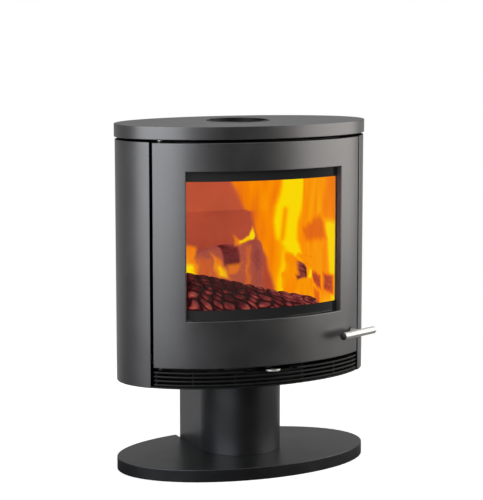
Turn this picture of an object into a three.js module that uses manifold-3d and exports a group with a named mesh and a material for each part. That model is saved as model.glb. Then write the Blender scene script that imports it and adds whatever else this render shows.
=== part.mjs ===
// Oval wood stove on a pedestal: a curved glazed door, a lined firebox, a fixed grille with an
// air lever, and a flue collar in the top plate.
// Millimetres, +Z up, the front faces -Y, and the origin is on the floor below the middle of the oval.

import * as THREE from 'three';
import { mergeVertices } from 'three/addons/utils/BufferGeometryUtils.js';
import Module from 'manifold-3d';

const wasm = await Module();
wasm.setup();

// ---------------------------------------------------------------- driving dimensions

const seatGap = 0.3;             // between pieces that rest on or slide past each other

const body = { halfWidth: 323, halfDepth: 190 };
const topOval = { halfWidth: 325, halfDepth: 192 };
const baseOval = { halfWidth: 324, halfDepth: 197 };

const basePlateHeight = 31;
const columnHeight = 196;
const bodyHeight = 592;
const topShadowGap = 6;
const topPlateHeight = 32;
const topPlateWall = 8;
const edgeBevel = 1.5;

const columnHalfWidth = 105;
const columnCentreY = 18;
const columnBackY = 160;
const columnWall = 5;
const columnFlangeWidth = 30;
const columnFlangeThickness = 4;
const columnBoltY = [38, 128];
const notchMargin = 1;           // the rear notch of the base plate lines up with the column's sides
const notchFrontY = 96;

const floorPanThickness = 4;
const panelThickness = 3;
const doorEdgeAngle = THREE.MathUtils.degToRad(57.35);
const panelFrontAngle = THREE.MathUtils.degToRad(59.1);
const panelBackAngle = THREE.MathUtils.degToRad(140);
const backPanelGapAngle = THREE.MathUtils.degToRad(1.2);
const ventCount = 11;
const ventWidth = 7;
const ventHeight = 46;
const ventPitch = 22;
const ventEdgeDistance = 26;
const bracketHalfWidth = 15;
const bracketThickness = 3;
const bracketInset = 42;         // from the top and bottom of the side panels

const grilleHeight = 45.5;       // bottom of the body to the casing
const slatCount = 4;
const slatThickness = 4.8;
const slatPitch = 10.1;
const slatFoot = 2;
const slatDepth = 12;
const slatInset = 2;
const slotLeftX = -72;
const slotRightX = 70.5;
const uprightAngles = [-56.2, -36, -16, 16, 36, 56.2].map(THREE.MathUtils.degToRad);
const uprightWidth = 4;

const doorTopGap = 1;
const doorBottomGap = 1;
const doorThickness = 18;
const windowHalfWidth = 204;
const windowBottomZ = 392;
const windowTopZ = 750;
const glassThickness = 4;
const glassLap = 9;
const clipWidth = 14;
const clipThickness = 2;
const gasketWidth = 9;
const gasketThickness = 7.7;
const gasketHalfWidth = 231;
const gasketEndDistance = 12;

const casingHalfWidth = 215;
const casingBackY = 140;
const casingCornerCut = 45;
const casingWall = 4;
const fireOpening = { halfWidth: 206, bottomZ: 386, topZ: 754 };
const ashOpening = { halfWidth: 142, height: 40 };
const firePlateHeight = 46;      // above the inside of the casing floor
const firePlateThickness = 4;
const floorBrickThickness = 22;
const sideBrickThickness = 20;
const backBrickThickness = 25;
const liningHeight = 372;
const backBrickJointZ = 622;
const sideBrickFrontY = -84;
const bafflePlateThickness = 20;
const bafflePlateFrontY = -30;
const steelBaffleThickness = 3;
const steelBaffleDrop = 44;      // below the inside of the casing top
const steelBaffleBackY = 40;
const ledgeWidth = 12;
const ledgeThickness = 3;

const grateHalfWidth = 90;
const grateHalfDepth = 60;
const grateCentreY = -8;
const grateSlotCount = 9;
const grateSlotWidth = 8;
const grateFrame = 12;
const grateSlotMargin = 2;       // the slots end this far inside the frame

const flueRadius = 78;
const flueWall = 6;
const flueCentreY = 21;
const flueFlangeRadius = 96;
const flueFlangeThickness = 4;
const flueStandProud = 1.5;
const topHoleGap = 1;
const topBossRadius = 11;
const topBossX = 165;
const topBossY = 85;

const ashPanHalfWidth = 136;
const ashPanFrontY = -104;
const ashPanBackY = 112;
const ashPanHeight = 36;
const ashPanWall = 2;
const ashPanGripHalfWidth = 45;
const ashPanGripReach = 14;
const ashPanGripDrop = 4;        // below the rim of the pan
const ashPanGripLip = 12;

const airHoleCount = 3;
const airHolePitch = 56;
const airHoleWidth = 30;
const airHoleFrontY = -142;
const airHoleBackY = -116;
const damperHalfLength = 92;
const damperEdge = 6;
const damperThickness = 3;
const damperRailHalfLength = 108;
const damperRailWall = 3;
const damperRestOffset = 14;     // the air holes are half open at rest
const leverX = 7.5;
const leverHalfWidth = 4;
const leverThickness = 3;
const knobHalfWidth = 18.5;
const knobReach = 15;
const knobFrontY = -196;
const knobThickness = 4.6;
const knobBevel = 0.8;
const slotPlateHalfWidth = 100;
const slotPlateThickness = 2;
const slotPlateGap = 4;
const slotPlateTopGap = 1;       // below the damper rails
const leverSlotMargin = 3;
const leverTravelLeft = 58;
const leverTravelRight = 42;

const spigotRadius = 50;
const spigotWall = 3;
const spigotLength = 40;
const spigotCentreY = 74;
const spigotFlangeRadius = 62;
const spigotFlangeThickness = 3;

const hinge = { x: -253, y: -107 };
const hingePinRadius = 4;
const hingePinDepth = 20;
const hingeCollarRadius = 6.5;
const hingeHeadHeight = 1.8;
const hingeBracketThickness = 3;
const hingeBracketReach = 14;
const hingeBracketTailX = -185;
const hingeBracketDepth = 46;

const handleX = 243;
const handleTurn = THREE.MathUtils.degToRad(25);
const handleZ = 335;
const handleStandOff = 37;
const handleBarRadius = 9;
const handleBarBevel = 1.5;
const handleBarLong = 76;
const handleBarShort = 46;
const handleCapLength = 4;
const handlePostRadius = 6;
const handlePostSink = 0.2;      // the post reaches this share of the radius into the bar's outline
const spindleRadius = 5;
const handleBushRadius = 8;
const handleBushLength = 3;
const camDepth = 36.5;
const camThickness = 5;
const camLength = 28;
const camHalfWidth = 6;
const keeperLipDepth = 28;
const keeperLipThickness = 5;
const keeperLipFrom = 8;
const keeperLipTo = 30;
const keeperLipTopZ = 322;
const keeperPlateZ = 297;
const keeperPlateThickness = 4;
const keeperPlateDepth = 16;
const keeperFootFrontY = -86;
const keeperFootBackY = -60;

const boltHeadRadius = 7.5;
const boltHeadHeight = 5.5;
const boltRadius = 4;
const boltDepth = 16;

// Each log's two ends: place, half thickness and half height. They stand on the fire bed.
const frontLogLeft = { x: -176, y: -62, halfDepth: 38, halfHeight: 75 };
const frontLogRight = { x: 178, y: -62, halfDepth: 26, halfHeight: 31 };
const rearLogLeft = { x: -150, y: 22, halfDepth: 34, halfHeight: 90 };
const rearLogRight = { x: 62, y: 34, halfDepth: 38, halfHeight: 103 };
const cornerLogLeft = { x: 142, y: 8, halfDepth: 24, halfHeight: 74 };
const cornerLogRight = { x: 176, y: 3, halfDepth: 22, halfHeight: 70 };

const arcStep = THREE.MathUtils.degToRad(5);
const roundSteps = 32;

// ---------------------------------------------------------------- heights worked out from them

const bodyBottomZ = basePlateHeight + columnHeight;
const bodyTopZ = bodyBottomZ + bodyHeight;
const floorPanTopZ = bodyBottomZ + floorPanThickness;
const casingBottomZ = bodyBottomZ + grilleHeight + hingeBracketThickness;
const casingFloorZ = casingBottomZ + casingWall;
const casingCeilingZ = bodyTopZ - casingWall;
const doorBottomZ = casingBottomZ + doorBottomGap;
const doorTopZ = bodyTopZ - doorTopGap;
const topPlateBottomZ = bodyTopZ + topShadowGap;
const topPlateTopZ = topPlateBottomZ + topPlateHeight;
const firePlateZ = casingFloorZ + firePlateHeight;
const floorBrickZ = firePlateZ + firePlateThickness;
const fireBedZ = floorBrickZ + floorBrickThickness;
const liningTopZ = fireBedZ + liningHeight;
const steelBaffleZ = casingCeilingZ - steelBaffleDrop;
const glassInset = doorThickness - glassThickness;
const doorBackInset = doorThickness + seatGap;
const casingInset = doorBackInset + gasketThickness + seatGap;
const damperTopZ = casingBottomZ - seatGap;
const damperBottomZ = damperTopZ - damperThickness;
const topSlatZ = floorPanTopZ + slatFoot + (slatCount - 1) * slatPitch;
const leverZ = topSlatZ + (slatThickness - leverThickness) / 2;
const chamberHalfWidth = casingHalfWidth - casingWall - sideBrickThickness - seatGap;
const chamberBackY = casingBackY - casingWall - seatGap - backBrickThickness;

// ---------------------------------------------------------------- shapes on the oval

// A point on the oval, moved in from it. Angle 0 faces the front and a quarter turn the right.
function ovalPoint(oval, angle, inset = 0) {
  const x = oval.halfWidth * Math.sin(angle);
  const y = -oval.halfDepth * Math.cos(angle);
  const normal = new THREE.Vector2(
    Math.sin(angle) / oval.halfWidth,
    -Math.cos(angle) / oval.halfDepth,
  ).normalize();
  return new THREE.Vector2(x - inset * normal.x, y - inset * normal.y);
}

function ovalArc(oval, from, to, inset = 0) {
  const steps = Math.max(1, Math.ceil(Math.abs(to - from) / arcStep));
  const points = [];
  for (let i = 0; i <= steps; i++) {
    points.push(ovalPoint(oval, from + ((to - from) * i) / steps, inset));
  }
  return points;
}

function wholeOval(oval, inset = 0) {
  return new THREE.Shape(ovalArc(oval, 0, 2 * Math.PI, inset).slice(0, -1));
}

// A strip that follows the oval between two insets.
function ovalStrip(from, to, outerInset, innerInset, oval = body) {
  const outer = ovalArc(oval, from, to, outerInset);
  const inner = ovalArc(oval, to, from, innerInset);
  return new THREE.Shape([...outer, ...inner]);
}

// The angle at which the oval, moved in, stands at a given x.
function angleAtX(x, inset = 0) {
  let low = 0;
  let high = Math.PI / 2;
  for (let i = 0; i < 40; i++) {
    const middle = (low + high) / 2;
    if (ovalPoint(body, middle, inset).x < Math.abs(x)) low = middle;
    else high = middle;
  }
  return Math.sign(x) * low;
}

// The firebox in plan: straight sides and back, and a front that follows the door.
function casingPlan(inset) {
  const side = casingHalfWidth - inset;
  const corner = angleAtX(side, casingInset + inset);
  const front = ovalArc(body, -corner, corner, casingInset + inset);
  const back = casingBackY - inset;
  const cornerCut = casingCornerCut - (2 - Math.SQRT2) * inset;
  const right = [new THREE.Vector2(side, back - cornerCut), new THREE.Vector2(side - cornerCut, back)];
  const left = [new THREE.Vector2(cornerCut - side, back), new THREE.Vector2(-side, back - cornerCut)];
  return new THREE.Shape([...front, ...right, ...left]);
}

function prism(shape, bottomZ, topZ) {
  const geometry = new THREE.ExtrudeGeometry(shape, {
    depth: topZ - bottomZ, bevelEnabled: false, curveSegments: roundSteps / 2,
  });
  return geometry.translate(0, 0, bottomZ);
}

function bevelledPrism(shape, bottomZ, topZ, bevel) {
  const geometry = new THREE.ExtrudeGeometry(shape, {
    depth: topZ - bottomZ - 2 * bevel, bevelThickness: bevel, bevelSize: bevel, bevelOffset: -bevel,
    bevelSegments: 1, curveSegments: roundSteps / 2,
  });
  return geometry.translate(0, 0, bottomZ + bevel);
}

function box(lowX, highX, lowY, highY, lowZ, highZ) {
  const geometry = new THREE.BoxGeometry(highX - lowX, highY - lowY, highZ - lowZ);
  return geometry.translate((lowX + highX) / 2, (lowY + highY) / 2, (lowZ + highZ) / 2);
}

function upright(x, y, radius, bottomZ, topZ, steps = roundSteps) {
  const geometry = new THREE.CylinderGeometry(radius, radius, topZ - bottomZ, steps);
  return geometry.rotateX(Math.PI / 2).translate(x, y, (bottomZ + topZ) / 2);
}

// A round piece with the given outline of [radius, height] pairs, standing at x, y.
function turned(x, y, outline) {
  const profile = outline.map(([radius, z]) => new THREE.Vector2(radius, z));
  return new THREE.LatheGeometry(profile, roundSteps).rotateX(Math.PI / 2).translate(x, y, 0);
}

// ---------------------------------------------------------------- joining and cutting

function toSolid(geometry) {
  const bare = geometry.index ? geometry.toNonIndexed() : geometry.clone();
  bare.deleteAttribute('normal');
  bare.deleteAttribute('uv');
  const merged = mergeVertices(bare, 1e-4);
  return new wasm.Manifold(new wasm.Mesh({
    numProp: 3,
    vertProperties: Float32Array.from(merged.attributes.position.array),
    triVerts: Uint32Array.from(merged.index.array),
  }));
}

function toGeometry(solid) {
  const mesh = solid.getMesh();
  const geometry = new THREE.BufferGeometry();
  geometry.setAttribute('position', new THREE.BufferAttribute(Float32Array.from(mesh.vertProperties), 3));
  geometry.setIndex(new THREE.BufferAttribute(Uint32Array.from(mesh.triVerts), 1));
  const flat = geometry.toNonIndexed();
  flat.computeVertexNormals();
  return flat;
}

function cut(base, ...tools) {
  return toGeometry(tools.reduce((solid, tool) => solid.subtract(toSolid(tool)), toSolid(base)));
}

function overlapOf(base, other) {
  return toGeometry(toSolid(base).intersect(toSolid(other)));
}

function join(base, ...others) {
  return toGeometry(others.reduce((solid, other) => solid.add(toSolid(other)), toSolid(base)));
}

// ---------------------------------------------------------------- materials

const finishes = {
  stovePaint: { color: 0x4b4c4e, roughness: 0.5, metalness: 0.35 },
  basePaint: { color: 0x2d2e2f, roughness: 0.5, metalness: 0.35 },
  blackPaint: { color: 0x121213, roughness: 0.65, metalness: 0.2 },
  bareSteel: { color: 0x9b9b98, roughness: 0.4, metalness: 1 },
  brushedSteel: { color: 0xd4d3cf, roughness: 0.25, metalness: 1 },
  castIron: { color: 0x2b2725, roughness: 0.8, metalness: 0.4 },
  fireBrick: { color: 0xb08a63, roughness: 0.95, metalness: 0 },
  glass: { color: 0x201a16, roughness: 0.05, metalness: 0, transparent: true, opacity: 0.35 },
  ropeSeal: { color: 0x3a3a3a, roughness: 1, metalness: 0 },
  wood: { color: 0x3a1a16, roughness: 0.95, metalness: 0 },
  blackPlastic: { color: 0x0c0c0c, roughness: 0.5, metalness: 0 },
};

const stove = new THREE.Group();

function add(name, geometry, finish, parent = stove) {
  const mesh = new THREE.Mesh(geometry, new THREE.MeshStandardMaterial(finishes[finish]));
  mesh.name = name;
  parent.add(mesh);
  return mesh;
}

// ---------------------------------------------------------------- pedestal

function columnOutline(inset) {
  const side = columnHalfWidth - inset;
  const shape = new THREE.Shape();
  shape.moveTo(side, columnBackY);
  shape.lineTo(-side, columnBackY);
  shape.lineTo(-side, columnCentreY);
  shape.absarc(0, columnCentreY, side, Math.PI, 2 * Math.PI, false);
  return shape;
}

function columnBoltPlaces() {
  const x = columnHalfWidth - columnWall - columnFlangeWidth / 2;
  return columnBoltY.flatMap((y) => [[-x, y], [x, y]]);
}

function addBasePlate() {
  const notch = columnHalfWidth + notchMargin;
  const plate = bevelledPrism(wholeOval(baseOval), 0, basePlateHeight, edgeBevel);
  const boltHoles = columnBoltPlaces().map(([x, y]) => upright(
    x, y, boltRadius + seatGap, basePlateHeight - boltDepth - 2, basePlateHeight + 1, 16));
  const innerNotch = columnHalfWidth - columnWall - columnFlangeWidth - notchMargin;
  const wide = box(-notch, notch, columnBackY + notchMargin, baseOval.halfDepth + 1, -1, basePlateHeight + 1);
  const narrow = box(-innerNotch, innerNotch, notchFrontY, baseOval.halfDepth + 1, -1, basePlateHeight + 1);
  add('base_plate', cut(plate, wide, narrow, ...boltHoles), 'basePaint');
}

function addColumn() {
  const topZ = bodyBottomZ;
  const bottomZ = basePlateHeight;
  const wallCore = prism(columnOutline(columnWall), bottomZ - 1, topZ + 1).translate(0, 1, 0);
  const wall = toSolid(prism(columnOutline(0), bottomZ, topZ)).subtract(toSolid(
    join(prism(columnOutline(columnWall), bottomZ - 1, topZ + 1), wallCore)));
  const flange = (lowZ) => {
    const whole = toSolid(prism(columnOutline(columnWall / 2), lowZ, lowZ + columnFlangeThickness));
    const core = prism(columnOutline(columnWall + columnFlangeWidth), lowZ - 1, lowZ + columnFlangeThickness + 1);
    return whole.subtract(toSolid(core)).subtract(toSolid(core.clone().translate(0, 2, 0)));
  };
  let column = wall.add(flange(bottomZ)).add(flange(topZ - columnFlangeThickness));
  for (const [x, y] of columnBoltPlaces()) {
    column = column.subtract(toSolid(upright(x, y, boltRadius + seatGap, bottomZ - 1, topZ + 1, 16)));
  }
  add('pedestal_column', toGeometry(column), 'stovePaint');
}

// A hexagon bolt with its head towards +Z for the floor joint, and towards -Z under the body.
function bolt(x, y, seatZ, direction) {
  const head = upright(x, y, boltHeadRadius, 0, boltHeadHeight, 6);
  const shank = upright(x, y, boltRadius, -boltDepth, 1, 16);
  const whole = join(head, shank);
  if (direction < 0) whole.rotateX(Math.PI).translate(0, 2 * y, 0);
  return whole.translate(0, 0, seatZ);
}

function addColumnBolts() {
  columnBoltPlaces().forEach(([x, y], i) => {
    add(`base_bolt_${i + 1}`, bolt(x, y, basePlateHeight + columnFlangeThickness, 1), 'bareSteel');
    add(`body_bolt_${i + 1}`, bolt(x, y, bodyBottomZ - columnFlangeThickness, -1), 'bareSteel');
  });
}

function addFloorPan() {
  const inset = panelThickness + seatGap;
  const pan = prism(wholeOval(body, inset), bodyBottomZ, floorPanTopZ);
  const airHole = upright(0, spigotCentreY, spigotRadius - spigotWall, bodyBottomZ - 1, floorPanTopZ + 1);
  const boltHoles = columnBoltPlaces().map(([x, y]) => upright(
    x, y, boltRadius + seatGap, bodyBottomZ - 1, floorPanTopZ + 1, 16));
  add('floor_pan', cut(pan, airHole, ...boltHoles), 'blackPaint');
}

function addAirSpigot() {
  const bore = spigotRadius - spigotWall;
  const flangeZ = bodyBottomZ - spigotFlangeThickness;
  add('air_spigot', turned(0, spigotCentreY, [
    [bore, bodyBottomZ], [bore, bodyBottomZ - spigotLength], [spigotRadius, bodyBottomZ - spigotLength],
    [spigotRadius, flangeZ], [spigotFlangeRadius, flangeZ], [spigotFlangeRadius, bodyBottomZ],
    [bore, bodyBottomZ],
  ]), 'bareSteel');
}

// ---------------------------------------------------------------- grille and air lever

function addGrille() {
  const end = doorEdgeAngle;
  const inner = slatInset + slatDepth;
  const gap = box(slotLeftX, slotRightX, -body.halfDepth - 5, -body.halfDepth / 2, topSlatZ - 1,
    topSlatZ + slatThickness + 1);
  let grille = null;
  for (let i = 0; i < slatCount; i++) {
    const z = floorPanTopZ + slatFoot + i * slatPitch;
    let slat = toSolid(prism(ovalStrip(-end, end, slatInset, inner), z, z + slatThickness));
    if (i === slatCount - 1) slat = slat.subtract(toSolid(gap));
    grille = grille ? grille.add(slat) : slat;
  }
  for (const angle of uprightAngles) {
    const half = uprightWidth / 2 / body.halfWidth;
    const post = ovalStrip(angle - half, angle + half, inner - slatDepth / 2, inner - 1);
    grille = grille.add(toSolid(prism(post, floorPanTopZ, topSlatZ + slatThickness / 2)));
  }
  add('front_grille', toGeometry(grille), 'blackPaint');
}

function addSlotPlate() {
  const end = angleAtX(slotPlateHalfWidth);
  const outer = slatInset + slatDepth + slotPlateGap;
  const plate = prism(ovalStrip(-end, end, outer, outer + slotPlateThickness), floorPanTopZ, damperBottomZ
    - damperRailWall - seatGap - slotPlateTopGap);
  const left = leverX - leverTravelLeft - leverHalfWidth - leverSlotMargin;
  const right = leverX + leverTravelRight + leverHalfWidth + leverSlotMargin;
  const slot = box(left, right, -body.halfDepth, -body.halfDepth / 2, leverZ - 1, leverZ + leverThickness + 1);
  add('air_slot_plate', cut(plate, slot), 'blackPaint');
}

function addDamperRails() {
  const frontY = airHoleFrontY - damperEdge;
  const backY = airHoleBackY + damperEdge;
  const lipTopZ = damperBottomZ - seatGap;
  const rail = (edgeY, outward) => {
    const wallFrom = edgeY + outward * seatGap;
    const wallTo = wallFrom + outward * damperRailWall;
    const lipTo = edgeY - outward * damperRailWall;
    const wall = box(-damperRailHalfLength, damperRailHalfLength, Math.min(wallFrom, wallTo),
      Math.max(wallFrom, wallTo), lipTopZ - damperRailWall, casingBottomZ);
    const lip = box(-damperRailHalfLength, damperRailHalfLength, Math.min(wallTo, lipTo),
      Math.max(wallTo, lipTo), lipTopZ - damperRailWall, lipTopZ);
    return join(wall, lip);
  };
  const lever = box(leverX - leverTravelLeft - leverHalfWidth - leverSlotMargin,
    leverX + leverTravelRight + leverHalfWidth + leverSlotMargin, frontY - 10, frontY + 10,
    lipTopZ - damperRailWall - 1, lipTopZ + 1);
  add('damper_rail_front', cut(rail(frontY, -1), lever), 'bareSteel');
  add('damper_rail_rear', rail(backY, 1), 'bareSteel');
}

function addAirLever() {
  const frontY = airHoleFrontY - damperEdge;
  const backY = airHoleBackY + damperEdge;
  const plate = box(leverX - damperHalfLength, leverX + damperHalfLength, frontY, backY, damperBottomZ,
    damperTopZ);
  const holes = [];
  for (let i = 0; i < airHoleCount; i++) {
    const x = (i - (airHoleCount - 1) / 2) * airHolePitch + damperRestOffset;
    holes.push(box(x - airHoleWidth / 2, x + airHoleWidth / 2, airHoleFrontY, airHoleBackY, damperBottomZ - 1,
      damperTopZ + 1));
  }
  const knobBackY = knobFrontY + knobReach;
  const riserY = frontY + damperRailWall + 2 * seatGap;
  const stem = box(leverX - leverHalfWidth, leverX + leverHalfWidth, knobBackY + seatGap,
    riserY + leverThickness, leverZ, leverZ + leverThickness);
  const riser = box(leverX - leverHalfWidth, leverX + leverHalfWidth, riserY, riserY + leverThickness, leverZ,
    damperBottomZ + 1);
  add('air_damper', join(cut(plate, ...holes), stem, riser), 'bareSteel');

  const tongue = new THREE.Shape();
  tongue.moveTo(leverX + knobHalfWidth, knobBackY);
  tongue.absellipse(leverX, knobBackY, knobHalfWidth, knobReach, 0, Math.PI, true);
  const knobZ = leverZ + (leverThickness - knobThickness) / 2;
  add('air_knob', bevelledPrism(tongue, knobZ, knobZ + knobThickness, knobBevel), 'brushedSteel');
}

// ---------------------------------------------------------------- firebox

function addCasing() {
  const shell = toSolid(prism(casingPlan(0), casingBottomZ, bodyTopZ));
  const cavity = prism(casingPlan(casingWall), casingFloorZ, casingCeilingZ);
  const frontY = -body.halfDepth;
  const fire = box(-fireOpening.halfWidth, fireOpening.halfWidth, frontY, frontY / 2, fireOpening.bottomZ,
    fireOpening.topZ);
  const ash = box(-ashOpening.halfWidth, ashOpening.halfWidth, frontY, frontY / 2, casingFloorZ,
    casingFloorZ + ashOpening.height);
  const flue = upright(0, flueCentreY, flueRadius - flueWall, casingCeilingZ - 1, bodyTopZ + 1);
  let casing = shell.subtract(toSolid(cavity)).subtract(toSolid(fire)).subtract(toSolid(ash))
    .subtract(toSolid(flue));
  for (let i = 0; i < airHoleCount; i++) {
    const x = (i - (airHoleCount - 1) / 2) * airHolePitch;
    casing = casing.subtract(toSolid(box(x - airHoleWidth / 2, x + airHoleWidth / 2, airHoleFrontY,
      airHoleBackY, casingBottomZ - 1, casingFloorZ + 1)));
  }
  for (const side of [-1, 1]) {
    const wallX = side * (casingHalfWidth - casingWall / 2);
    const edgeX = side * (casingHalfWidth - casingWall - ledgeWidth);
    casing = casing.add(toSolid(box(Math.min(wallX, edgeX), Math.max(wallX, edgeX), sideBrickFrontY,
      steelBaffleBackY, steelBaffleZ - ledgeThickness, steelBaffleZ)));
  }
  add('firebox_casing', toGeometry(casing), 'blackPaint');
}

function grateOpening(margin, bottomZ, topZ) {
  return box(-grateHalfWidth - margin, grateHalfWidth + margin, grateCentreY - grateHalfDepth - margin,
    grateCentreY + grateHalfDepth + margin, bottomZ, topZ);
}

function addLining() {
  const inside = casingWall + seatGap;
  const firePlate = prism(casingPlan(inside), firePlateZ, floorBrickZ);
  add('fire_plate', cut(firePlate, grateOpening(-grateFrame, firePlateZ - 1, floorBrickZ + 1)), 'blackPaint');
  const floorBrick = prism(casingPlan(inside), floorBrickZ, fireBedZ);
  add('brick_floor', cut(floorBrick, grateOpening(seatGap, floorBrickZ - 1, fireBedZ + 1)), 'fireBrick');

  const outerX = casingHalfWidth - inside;
  const backY = casingBackY - inside;
  const lined = (lowX, highX, lowY, highY, lowZ, highZ) => overlapOf(
    box(lowX, highX, lowY, highY, lowZ, highZ), prism(casingPlan(inside), lowZ - 1, highZ + 1));
  add('brick_left', lined(-outerX, -chamberHalfWidth, sideBrickFrontY, chamberBackY - seatGap, fireBedZ,
    liningTopZ), 'fireBrick');
  add('brick_right', lined(chamberHalfWidth, outerX, sideBrickFrontY, chamberBackY - seatGap, fireBedZ,
    liningTopZ), 'fireBrick');
  add('brick_back_lower', lined(-outerX, outerX, chamberBackY, backY, fireBedZ, backBrickJointZ), 'fireBrick');
  add('brick_back_upper', lined(-outerX, outerX, chamberBackY, backY, backBrickJointZ, liningTopZ), 'fireBrick');
  add('baffle_brick', lined(-outerX, outerX, bafflePlateFrontY, backY, liningTopZ,
    liningTopZ + bafflePlateThickness), 'fireBrick');
  add('steel_baffle', box(-outerX, outerX, sideBrickFrontY, steelBaffleBackY, steelBaffleZ,
    steelBaffleZ + steelBaffleThickness), 'blackPaint');
}

function addGrate() {
  const topZ = fireBedZ;           // flush with the floor bricks
  const slots = [];
  const span = 2 * (grateHalfWidth - grateFrame);
  const pitch = (span - grateSlotWidth) / (grateSlotCount - 1);
  for (let i = 0; i < grateSlotCount; i++) {
    const x = -span / 2 + grateSlotWidth / 2 + i * pitch;
    slots.push(box(x - grateSlotWidth / 2, x + grateSlotWidth / 2, 
      grateCentreY - grateHalfDepth + grateFrame + grateSlotMargin,
      grateCentreY + grateHalfDepth - grateFrame - grateSlotMargin, floorBrickZ - 1, topZ + 1));
  }
  add('grate', cut(grateOpening(0, floorBrickZ, topZ), ...slots), 'castIron');
}

function addAshPan() {
  const tray = box(-ashPanHalfWidth, ashPanHalfWidth, ashPanFrontY, ashPanBackY, casingFloorZ,
    casingFloorZ + ashPanHeight);
  const hollow = box(-ashPanHalfWidth + ashPanWall, ashPanHalfWidth - ashPanWall, ashPanFrontY + ashPanWall,
    ashPanBackY - ashPanWall, casingFloorZ + ashPanWall, casingFloorZ + ashPanHeight + 1);
  const gripTopZ = casingFloorZ + ashPanHeight - ashPanGripDrop;
  const grip = box(-ashPanGripHalfWidth, ashPanGripHalfWidth, ashPanFrontY - ashPanGripReach, ashPanFrontY + 1,
    gripTopZ - ashPanWall, gripTopZ);
  const gripLip = box(-ashPanGripHalfWidth, ashPanGripHalfWidth, ashPanFrontY - ashPanGripReach,
    ashPanFrontY - ashPanGripReach + ashPanWall, gripTopZ - ashPanGripLip, gripTopZ);
  add('ash_pan', join(cut(tray, hollow), grip, gripLip), 'bareSteel');
}

// ---------------------------------------------------------------- shell

function addSidePanels() {
  for (const [name, side] of [['side_panel_left', -1], ['side_panel_right', 1]]) {
    const strip = ovalStrip(side * panelFrontAngle, side * panelBackAngle, 0, panelThickness);
    add(name, prism(strip, bodyBottomZ, bodyTopZ), 'stovePaint');
  }
}

function addPanelBrackets() {
  const reachX = body.halfWidth - panelThickness - 1 - seatGap;
  const levels = [['lower', bodyBottomZ + grilleHeight + bracketInset], ['upper', bodyTopZ - bracketInset]];
  for (const [side, sign] of [['left', -1], ['right', 1]]) {
    for (const [level, z] of levels) {
      const plate = box(Math.min(sign * casingHalfWidth, sign * reachX), Math.max(sign * casingHalfWidth,
        sign * reachX), -bracketHalfWidth, bracketHalfWidth, z, z + bracketThickness);
      add(`panel_bracket_${side}_${level}`, plate, 'blackPaint');
    }
  }
  const backReach = ovalPoint(body, Math.PI - angleAtX(2 * bracketHalfWidth), panelThickness + seatGap).y;
  const z = bodyTopZ - bracketInset - ventHeight;
  add('panel_bracket_back', box(-2 * bracketHalfWidth, 2 * bracketHalfWidth, casingBackY, backReach, z,
    z + bracketThickness), 'blackPaint');
}

function addBackPanel() {
  const from = panelBackAngle + backPanelGapAngle;
  const panel = prism(ovalStrip(from, 2 * Math.PI - from, 0, panelThickness), bodyBottomZ, bodyTopZ);
  const slots = [];
  for (let i = 0; i < ventCount; i++) {
    const x = (i - (ventCount - 1) / 2) * ventPitch;
    for (const z of [bodyBottomZ + ventEdgeDistance, bodyTopZ - ventEdgeDistance - ventHeight]) {
      slots.push(box(x - ventWidth / 2, x + ventWidth / 2, body.halfDepth / 2, body.halfDepth + 5, z,
        z + ventHeight));
    }
  }
  add('back_panel', cut(panel, ...slots), 'stovePaint');
}

function addTopPlate() {
  const plate = bevelledPrism(wholeOval(topOval), topPlateBottomZ, topPlateTopZ, edgeBevel);
  const hollow = prism(wholeOval(topOval, topPlateWall), topPlateBottomZ - 1, topPlateTopZ - topPlateWall);
  const hole = upright(0, flueCentreY, flueRadius + topHoleGap, topPlateBottomZ - 1, topPlateTopZ + 1);
  let top = toSolid(plate).subtract(toSolid(hollow)).subtract(toSolid(hole));
  for (const x of [-topBossX, topBossX]) {
    for (const y of [-topBossY, topBossY]) {
      top = top.add(toSolid(upright(x, y, topBossRadius, bodyTopZ, topPlateTopZ - topPlateWall / 2, 16)));
    }
  }
  add('top_plate', toGeometry(top), 'stovePaint');
}

function addFlueCollar() {
  const bore = flueRadius - flueWall;
  const topZ = topPlateTopZ + flueStandProud;
  const flangeZ = bodyTopZ + flueFlangeThickness;
  add('flue_collar', turned(0, flueCentreY, [
    [bore, bodyTopZ], [flueFlangeRadius, bodyTopZ], [flueFlangeRadius, flangeZ], [flueRadius, flangeZ],
    [flueRadius, topZ - 1], [flueRadius - 1, topZ], [bore + 1, topZ], [bore, topZ - 1], [bore, bodyTopZ],
  ]), 'blackPaint');
}

// ---------------------------------------------------------------- door

function windowEdgeAngle(reach) {
  return angleAtX(windowHalfWidth + reach);
}

function addDoor() {
  const panel = prism(ovalStrip(-doorEdgeAngle, doorEdgeAngle, 0, doorThickness), doorBottomZ, doorTopZ);
  const edge = windowEdgeAngle(0);
  const rebateEdge = windowEdgeAngle(glassLap + seatGap);
  const opening = prism(ovalStrip(-edge, edge, -5, doorThickness + 5), windowBottomZ, windowTopZ);
  const rebate = prism(ovalStrip(-rebateEdge, rebateEdge, glassInset - seatGap, doorThickness + 5),
    windowBottomZ - glassLap - seatGap, windowTopZ + glassLap + seatGap);
  const pinHoles = [[doorBottomZ - 1, doorBottomZ + hingePinDepth], [doorTopZ - hingePinDepth, doorTopZ + 1]]
    .map(([low, high]) => upright(hinge.x, hinge.y, hingePinRadius + seatGap, low, high, 16));
  const spindleHole = handleRound(handlePostRadius + seatGap, -doorThickness * 2, 20);
  add('door_panel', cut(panel, opening, rebate, ...pinHoles, spindleHole), 'stovePaint');
}

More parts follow.
